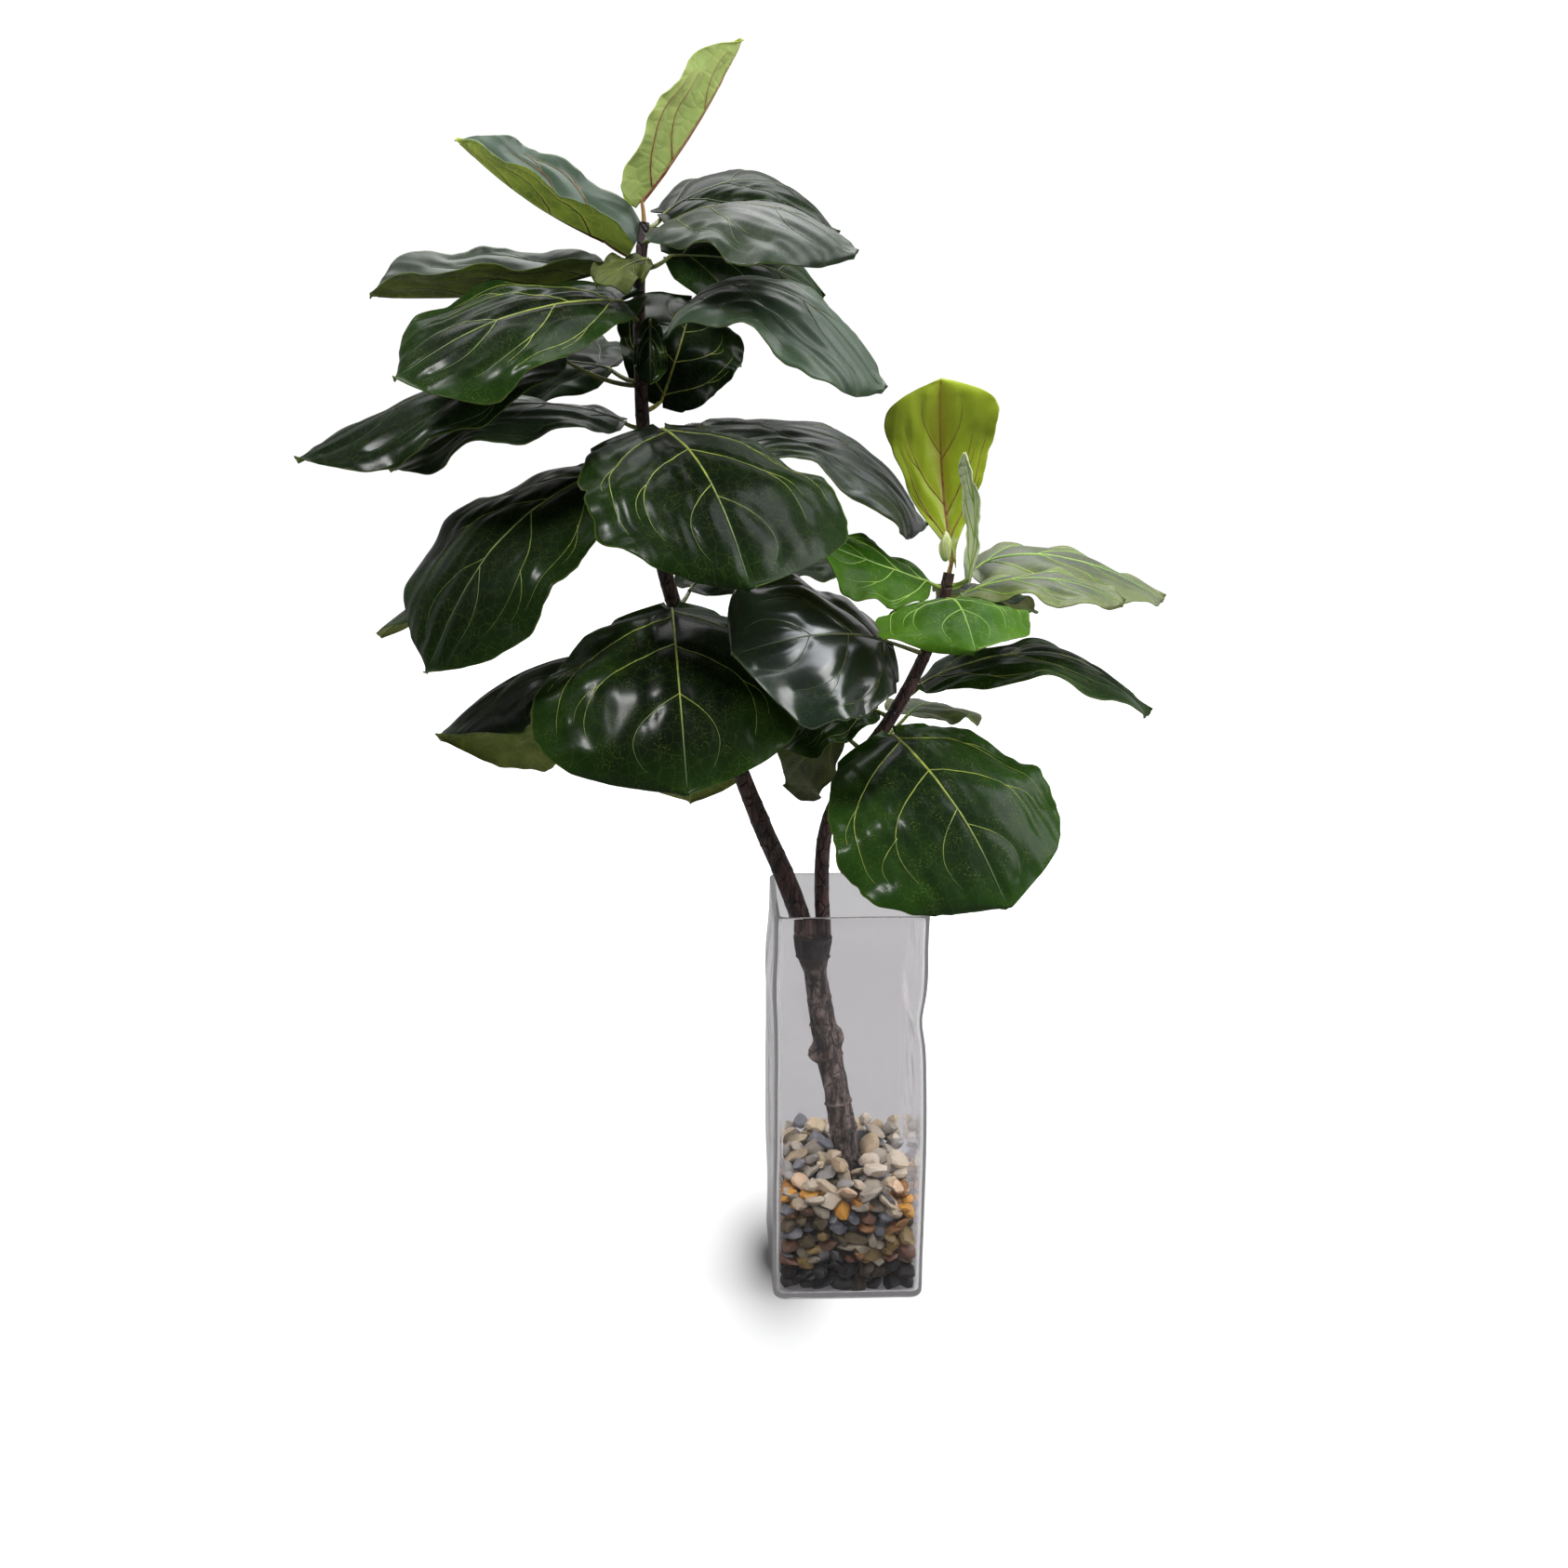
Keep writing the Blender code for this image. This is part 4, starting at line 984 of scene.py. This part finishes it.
def leafLines(blade, item, stem, veins):
    # the stalk with its midrib, and the side veins, as tapering lines on the blade
    top = leafSizes["blade"] / 2

    def laid(u, v, height):
        return onBlade(blade, bladePlace(item, u, v), height)

    rib = np.linspace(0.0, 0.985, 40)
    ribRadii = leafSizes["ribRadius"] * np.interp(rib, [0, 0.3, 1.0], [1.0, 0.72, 0.25])
    ribPlaces = laid(rib, 0.0, top - ribRadii * 0.25)
    stalk = petioleLine(item, stem)
    stalkRadii = np.linspace(leafSizes["petioleRadius"] * 1.25, leafSizes["ribRadius"], len(stalk))
    lines = [(np.vstack([stalk[:-1], ribPlaces]), np.concatenate([stalkRadii[:-1], ribRadii]))]
    for lineU, lineV, radius, taper in veins:
        radii = radius * np.linspace(1.0, taper, len(lineU))
        lines.append((laid(lineU, lineV, top + radii * 0.1), radii))
        if radius > leafSizes["twigRadius"]:
            lines.append((laid(lineU, lineV, -top - radii * 0.2), radii))
    lines.append((laid(rib, 0.0, -top - ribRadii * 0.3), ribRadii))
    return lines


def makeLeaf(item, stem, looks, seed):
    rows, columns = leafSizes["rows"], leafSizes["columns"]
    chance = random.Random(seed)
    deselectAll()
    bpy.ops.mesh.primitive_grid_add(x_subdivisions=rows, y_subdivisions=columns, size=1.0)
    blade = bpy.context.object
    mesh = blade.data
    points = readPoints(mesh)
    u = np.clip(points[:, 0] + 0.5, 0, 1)
    u = u - leafSizes["crowding"] * np.sin(2 * math.pi * u)
    v = -2.0 * points[:, 1]
    veins = veinLines(item, chance)
    rise, nearVein = bladeDetail(item, u, v, veins, seed)
    wobble = noiseAt(u * 7, np.copysign(3.0, v), seed) + 0.5 * noiseAt(u * 17, np.copysign(4.0, v), seed)
    edgeWave = leafSizes["edgeRuffle"] * abs(v) ** 5 * noiseAt(u * 13, np.copysign(5.0, v), seed)
    shrunk = v * (1 + leafSizes["edgeWander"] * wobble * abs(v) ** 3 - leafSizes["edgeTrim"] * abs(v) ** 3)
    places = bladePlace(item, u, shrunk) + bladeNormal(item, u, v) * (rise + edgeWave)[:, None]
    writePoints(mesh, places)
    uvLayer = mesh.uv_layers.active or mesh.uv_layers.new()
    uvLayer.name = "bladeMap"
    corner = np.empty(len(mesh.loops), int)
    mesh.loops.foreach_get("vertex_index", corner)
    flatMap = flatten(item, u, v)[corner]
    uvLayer.data.foreach_set("uv", flatMap.astype(np.float32).ravel())
    paint(mesh, acrossBlade=v, nearVein=nearVein, leafTone=item["tone"], leafLight=item["light"], alongBlade=u)
    for material in looks:
        mesh.materials.append(material)
    mesh.shade_smooth()
    blade.name = item["name"] + "_leaf"
    lines = leafLines(blade, item, stem, veins)
    solid = blade.modifiers.new("thickness", "SOLIDIFY")
    solid.thickness = leafSizes["blade"]
    solid.offset = 0.0
    solid.material_offset = 1
    applyModifiers(blade)

    veinObj = tubes(item["name"] + "_veins", lines, looks[2], 1)
    veinObj.data.shade_smooth()
    placed = readPoints(veinObj.data)
    base = np.array(item["base"])
    way = np.array(item["tip"]) - base
    share = ((placed - base) @ way) / (way @ way)
    paint(veinObj.data, alongBlade=np.clip(share, -1, 1), leafTone=item["tone"], nearVein=1.0, acrossBlade=0.0,
          veinShow=np.where(share < 0.02, 1.0, item["veins"]))
    activate(blade)
    veinObj.select_set(True)
    bpy.ops.object.join()
    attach(blade, "root")
    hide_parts(item["name"])


# noise and net scales of the leaf finishes
leafGrain = {"clouds": 9.0, "drift": 26.0, "flecks": 520.0, "patches": 40.0, "net": 95.0,
             "underClouds": 30.0, "underNet": 80.0}


def topMaterial(name, darkest, middle, fresh, fleck, rough, coat=0.0, blush=None, gloss=0.20, bloom=0.03,
                polish=0.22):
    # dark between the veins, fresher towards the edge and the tip, flecked, with a fine net
    green, shader = newMaterial(name, {
        "Roughness": rough, "IOR": 1.45, "Specular IOR Level": gloss, "Coat Weight": coat,
        "Coat Roughness": polish, "Sheen Weight": bloom, "Sheen Roughness": 0.35,
        "Sheen Tint": (0.86, 0.82, 0.95, 1.0)})
    place, tone = uvPlace(green), attribute(green, "leafTone")
    clouds = noiseOf(green, place, leafGrain["clouds"], 2.0)
    shade = mix(green, span(green, clouds, 0.35, 0.68), darkest, middle)
    # painted light and shade, partly the leaf's own tone: the colour is multiplied by each leaf's light factor
    shade = mix(green, 1.0, shade, attribute(green, "leafLight"), "MULTIPLY")
    edge = mathOf(green, "ABSOLUTE", attribute(green, "acrossBlade"), 0.0)
    if blush:
        shade = mix(green, span(green, edge, 0.0, 0.30, 0.55, 0.0), shade, blush)
    drift = times(green, noiseOf(green, place, leafGrain["drift"]), 0.9)
    outer = span(green, mathOf(green, "ADD", edge, drift), 0.65, 1.40)
    tip = span(green, attribute(green, "alongBlade"), 0.80, 1.0, 0.0, 0.8)
    shade = mix(green, times(green, tone, mathOf(green, "MAXIMUM", outer, tip)), shade, fresh)
    flecks = noiseOf(green, place, leafGrain["flecks"], 3.0, 0.6)
    patchy = span(green, noiseOf(green, place, leafGrain["patches"], 2.0), 0.45, 0.62)
    flecked = times(green, patchy, mathOf(green, "ADD", tone, 0.12))
    shade = mix(green, times(green, span(green, flecks, 0.54, 0.70, 0.0, 0.6), flecked), shade, fleck)
    net = cellEdges(green, place, leafGrain["net"])
    shade = mix(green, times(green, span(green, net, 0.0, 0.06, 1.0, 0.0), 0.07), shade, fleck)
    shade = mix(green, times(green, attribute(green, "nearVein"), 0.12), shade, fresh)
    shade = mix(green, span(green, edge, 0.978, 0.996, 0.0, 0.45), shade, fleck)
    link(green, shade, shader.inputs["Base Color"])
    link(green, span(green, clouds, 0.3, 0.7, rough - 0.05, rough + 0.09), shader.inputs["Roughness"])
    height = mathOf(green, "ADD", span(green, net, 0.0, 0.25), times(green, flecks, 0.5))
    bump(green, shader, height, 0.08, 0.0004)
    return green


def underMaterial(name, dull, lime, net, lit=False):
    under, shader = newMaterial(name, {"Roughness": 0.62, "IOR": 1.4})
    place = uvPlace(under)
    clouds = noiseOf(under, place, leafGrain["underClouds"], 4.0)
    shade = mix(under, span(under, clouds, 0.35, 0.65), dull, lime)
    cells = cellEdges(under, place, leafGrain["underNet"])
    shade = mix(under, span(under, cells, 0.0, 0.08, 0.22, 0.0), shade, net)
    shade = mix(under, times(under, attribute(under, "nearVein"), 0.4), shade, net)
    # painted light and shade, partly the leaf's own tone: the underside's colour multiplied by each leaf's
    # light factor
    if lit:
        shade = mix(under, 1.0, shade, attribute(under, "leafLight"), "MULTIPLY")
    link(under, shade, shader.inputs["Base Color"])
    bump(under, shader, span(under, cells, 0.0, 0.2), 0.35, 0.0008)
    return under


def veinMaterial(name, stalk, bright, pale, around):
    # from the stalk's colour to a bright rib, paler at the tip, and faded into the leaf where veins show less
    vein, shader = newMaterial(name, {"Roughness": 0.5})
    between = tuple(0.5 * (a + b) for a, b in zip(stalk, bright))
    colour = ramp(vein, span(vein, attribute(vein, "alongBlade"), -0.3, 1.0),
                  [(0.0, stalk), (0.2, between), (0.26, bright), (0.6, bright), (0.95, pale)])
    patches = noiseOf(vein, objectPlace(vein), 90.0, 3.0)
    colour = mix(vein, span(vein, patches, 0.42, 0.62, 0.0, 0.6), colour, pale)
    link(vein, mix(vein, attribute(vein, "veinShow"), around, colour), shader.inputs["Base Color"])
    bump(vein, shader, patches, 0.3, 0.0006)
    return vein


# upper sides: the darkest, middle, fresh and fleck colours, and the roughness
topColours = {
    "oldLeafTop": dict(
        darkest=(0.0022, 0.005, 0.0018), middle=(0.0056, 0.012, 0.0042),
        fresh=(0.02, 0.056, 0.007), fleck=(0.13, 0.19, 0.035), rough=0.33, coat=0.13, gloss=0.03, polish=0.21),
    "greyLeafTop": dict(
        darkest=(0.006, 0.0095, 0.0065), middle=(0.012, 0.018, 0.012),
        fresh=(0.026, 0.07, 0.01), fleck=(0.14, 0.19, 0.05), rough=0.36, gloss=0.32, bloom=0.1),
    "shinyLeafTop": dict(
        darkest=(0.0032, 0.0066, 0.005), middle=(0.007, 0.014, 0.01),
        fresh=(0.02, 0.05, 0.012), fleck=(0.12, 0.17, 0.05), rough=0.2, coat=0.8, gloss=0.36),
    "youngLeafTop": dict(
        darkest=(0.19, 0.26, 0.012), middle=(0.27, 0.35, 0.02),
        fresh=(0.36, 0.43, 0.035), fleck=(0.46, 0.5, 0.09), rough=0.36, blush=(0.24, 0.16, 0.01)),
    "freshLeafTop": dict(
        darkest=(0.014, 0.052, 0.0025), middle=(0.024, 0.08, 0.004),
        fresh=(0.048, 0.122, 0.008), fleck=(0.22, 0.32, 0.045), rough=0.38, gloss=0.08),
    "softLeafTop": dict(
        darkest=(0.038, 0.05, 0.028), middle=(0.064, 0.078, 0.046),
        fresh=(0.2, 0.25, 0.045), fleck=(0.3, 0.36, 0.09), rough=0.42, gloss=0.4, bloom=0.14),
}
# undersides: the dull and lime colours and the net's
underColours = {
    "limeLeafUnder": dict(dull=(0.06, 0.082, 0.013), lime=(0.12, 0.155, 0.022), net=(0.24, 0.28, 0.06),
                          lit=True),
    "oldLeafUnder": dict(dull=(0.13, 0.17, 0.035), lime=(0.23, 0.28, 0.055), net=(0.38, 0.42, 0.12)),
    "youngLeafUnder": dict(dull=(0.24, 0.32, 0.077), lime=(0.315, 0.41, 0.11), net=(0.34, 0.375, 0.11)),
    "paleLeafUnder": dict(dull=(0.46, 0.52, 0.34), lime=(0.58, 0.64, 0.44), net=(0.5, 0.55, 0.28)),
}
# veins: the stalk's colour, the rib's, the tip's and the leaf's around them
veinColours = {
    "oldVein": ((0.1, 0.09, 0.03), (0.33, 0.38, 0.05), (0.07, 0.11, 0.05), (0.006, 0.014, 0.01)),
    "yellowVein": ((0.5, 0.42, 0.05), (0.42, 0.44, 0.06), (0.08, 0.11, 0.05), (0.02, 0.03, 0.012)),
    "youngVein": ((0.3, 0.2, 0.04), (0.15, 0.032, 0.012), (0.26, 0.17, 0.03), (0.2, 0.2, 0.03)),
    "freshVein": ((0.32, 0.36, 0.05), (0.26, 0.4, 0.06), (0.12, 0.26, 0.04), (0.1, 0.2, 0.03)),
}
# what each look is made of: upper side, underside and veins
leafLooks = {
    "old": ("oldLeafTop", "oldLeafUnder", "oldVein"),
    "yellow": ("oldLeafTop", "oldLeafUnder", "yellowVein"),
    "shiny": ("shinyLeafTop", "oldLeafUnder", "oldVein"),
    "grey": ("greyLeafTop", "oldLeafUnder", "oldVein"),
    "lime": ("greyLeafTop", "limeLeafUnder", "oldVein"),
    "limeYoung": ("greyLeafTop", "limeLeafUnder", "youngVein"),
    "olive": ("limeLeafUnder", "limeLeafUnder", "oldVein"),
    "young": ("youngLeafTop", "youngLeafUnder", "youngVein"),
    "fresh": ("freshLeafTop", "youngLeafUnder", "freshVein"),
    "soft": ("softLeafTop", "youngLeafUnder", "freshVein"),
    "pale": ("paleLeafUnder", "youngLeafUnder", "freshVein"),
}
finishes = {name: topMaterial(name, **look) for name, look in topColours.items()}
finishes.update({name: underMaterial(name, **look) for name, look in underColours.items()})
finishes.update({name: veinMaterial(name, *look) for name, look in veinColours.items()})
for stemName, leaves, firstSeed in (("tall_stem", tallLeaves, 0), ("short_stem", shortLeaves, 40)):
    for number, item in enumerate(leaves, 1):
        looks = [finishes[part] for part in leafLooks[item["look"]]]
        makeLeaf(item, stems[stemName], looks, firstSeed + number)
    print(stemName, "leaves grown:", len(leaves))

# bud

budSizes = {"length": 0.030, "radius": 0.0063, "narrowing": 0.38, "wrap": 0.07}


def makeBud(sizes):
    low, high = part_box("bud")
    centre = (low + high) / 2
    deselectAll()
    bpy.ops.mesh.primitive_uv_sphere_add(segments=28, ring_count=26, radius=1.0)
    bud = bpy.context.object
    bud.name = "leaf_bud"
    points = readPoints(bud.data)
    height = points[:, 2]
    angle = np.arctan2(points[:, 1], points[:, 0])
    narrow = sizes["radius"] * (1 - sizes["narrowing"] * np.maximum(height, 0) ** 1.5)
    wrap = 1 + sizes["wrap"] * np.sign(np.sin(angle + height * 2.2)) * (1 - height ** 2)
    points[:, 0] *= narrow * wrap
    points[:, 1] *= narrow * wrap
    points[:, 2] = height * sizes["length"] / 2
    writePoints(bud.data, points + np.array(centre))
    bud.data.shade_smooth()
    skin, shader = newMaterial("budSkin", {"Roughness": 0.32})
    place = objectPlace(skin)
    stripes = noiseOf(skin, stretched(skin, place, (1.0, 1.0, 0.12)), 420.0, 4.0)
    shade = mix(skin, span(skin, stripes, 0.4, 0.65), (0.34, 0.42, 0.12), (0.66, 0.68, 0.38))
    link(skin, shade, shader.inputs["Base Color"])
    bump(skin, shader, stripes, 0.4, 0.0006)
    bud.data.materials.append(skin)
    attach(bud, "root")
    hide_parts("bud")


makeBud(budSizes)
print("bud placed")
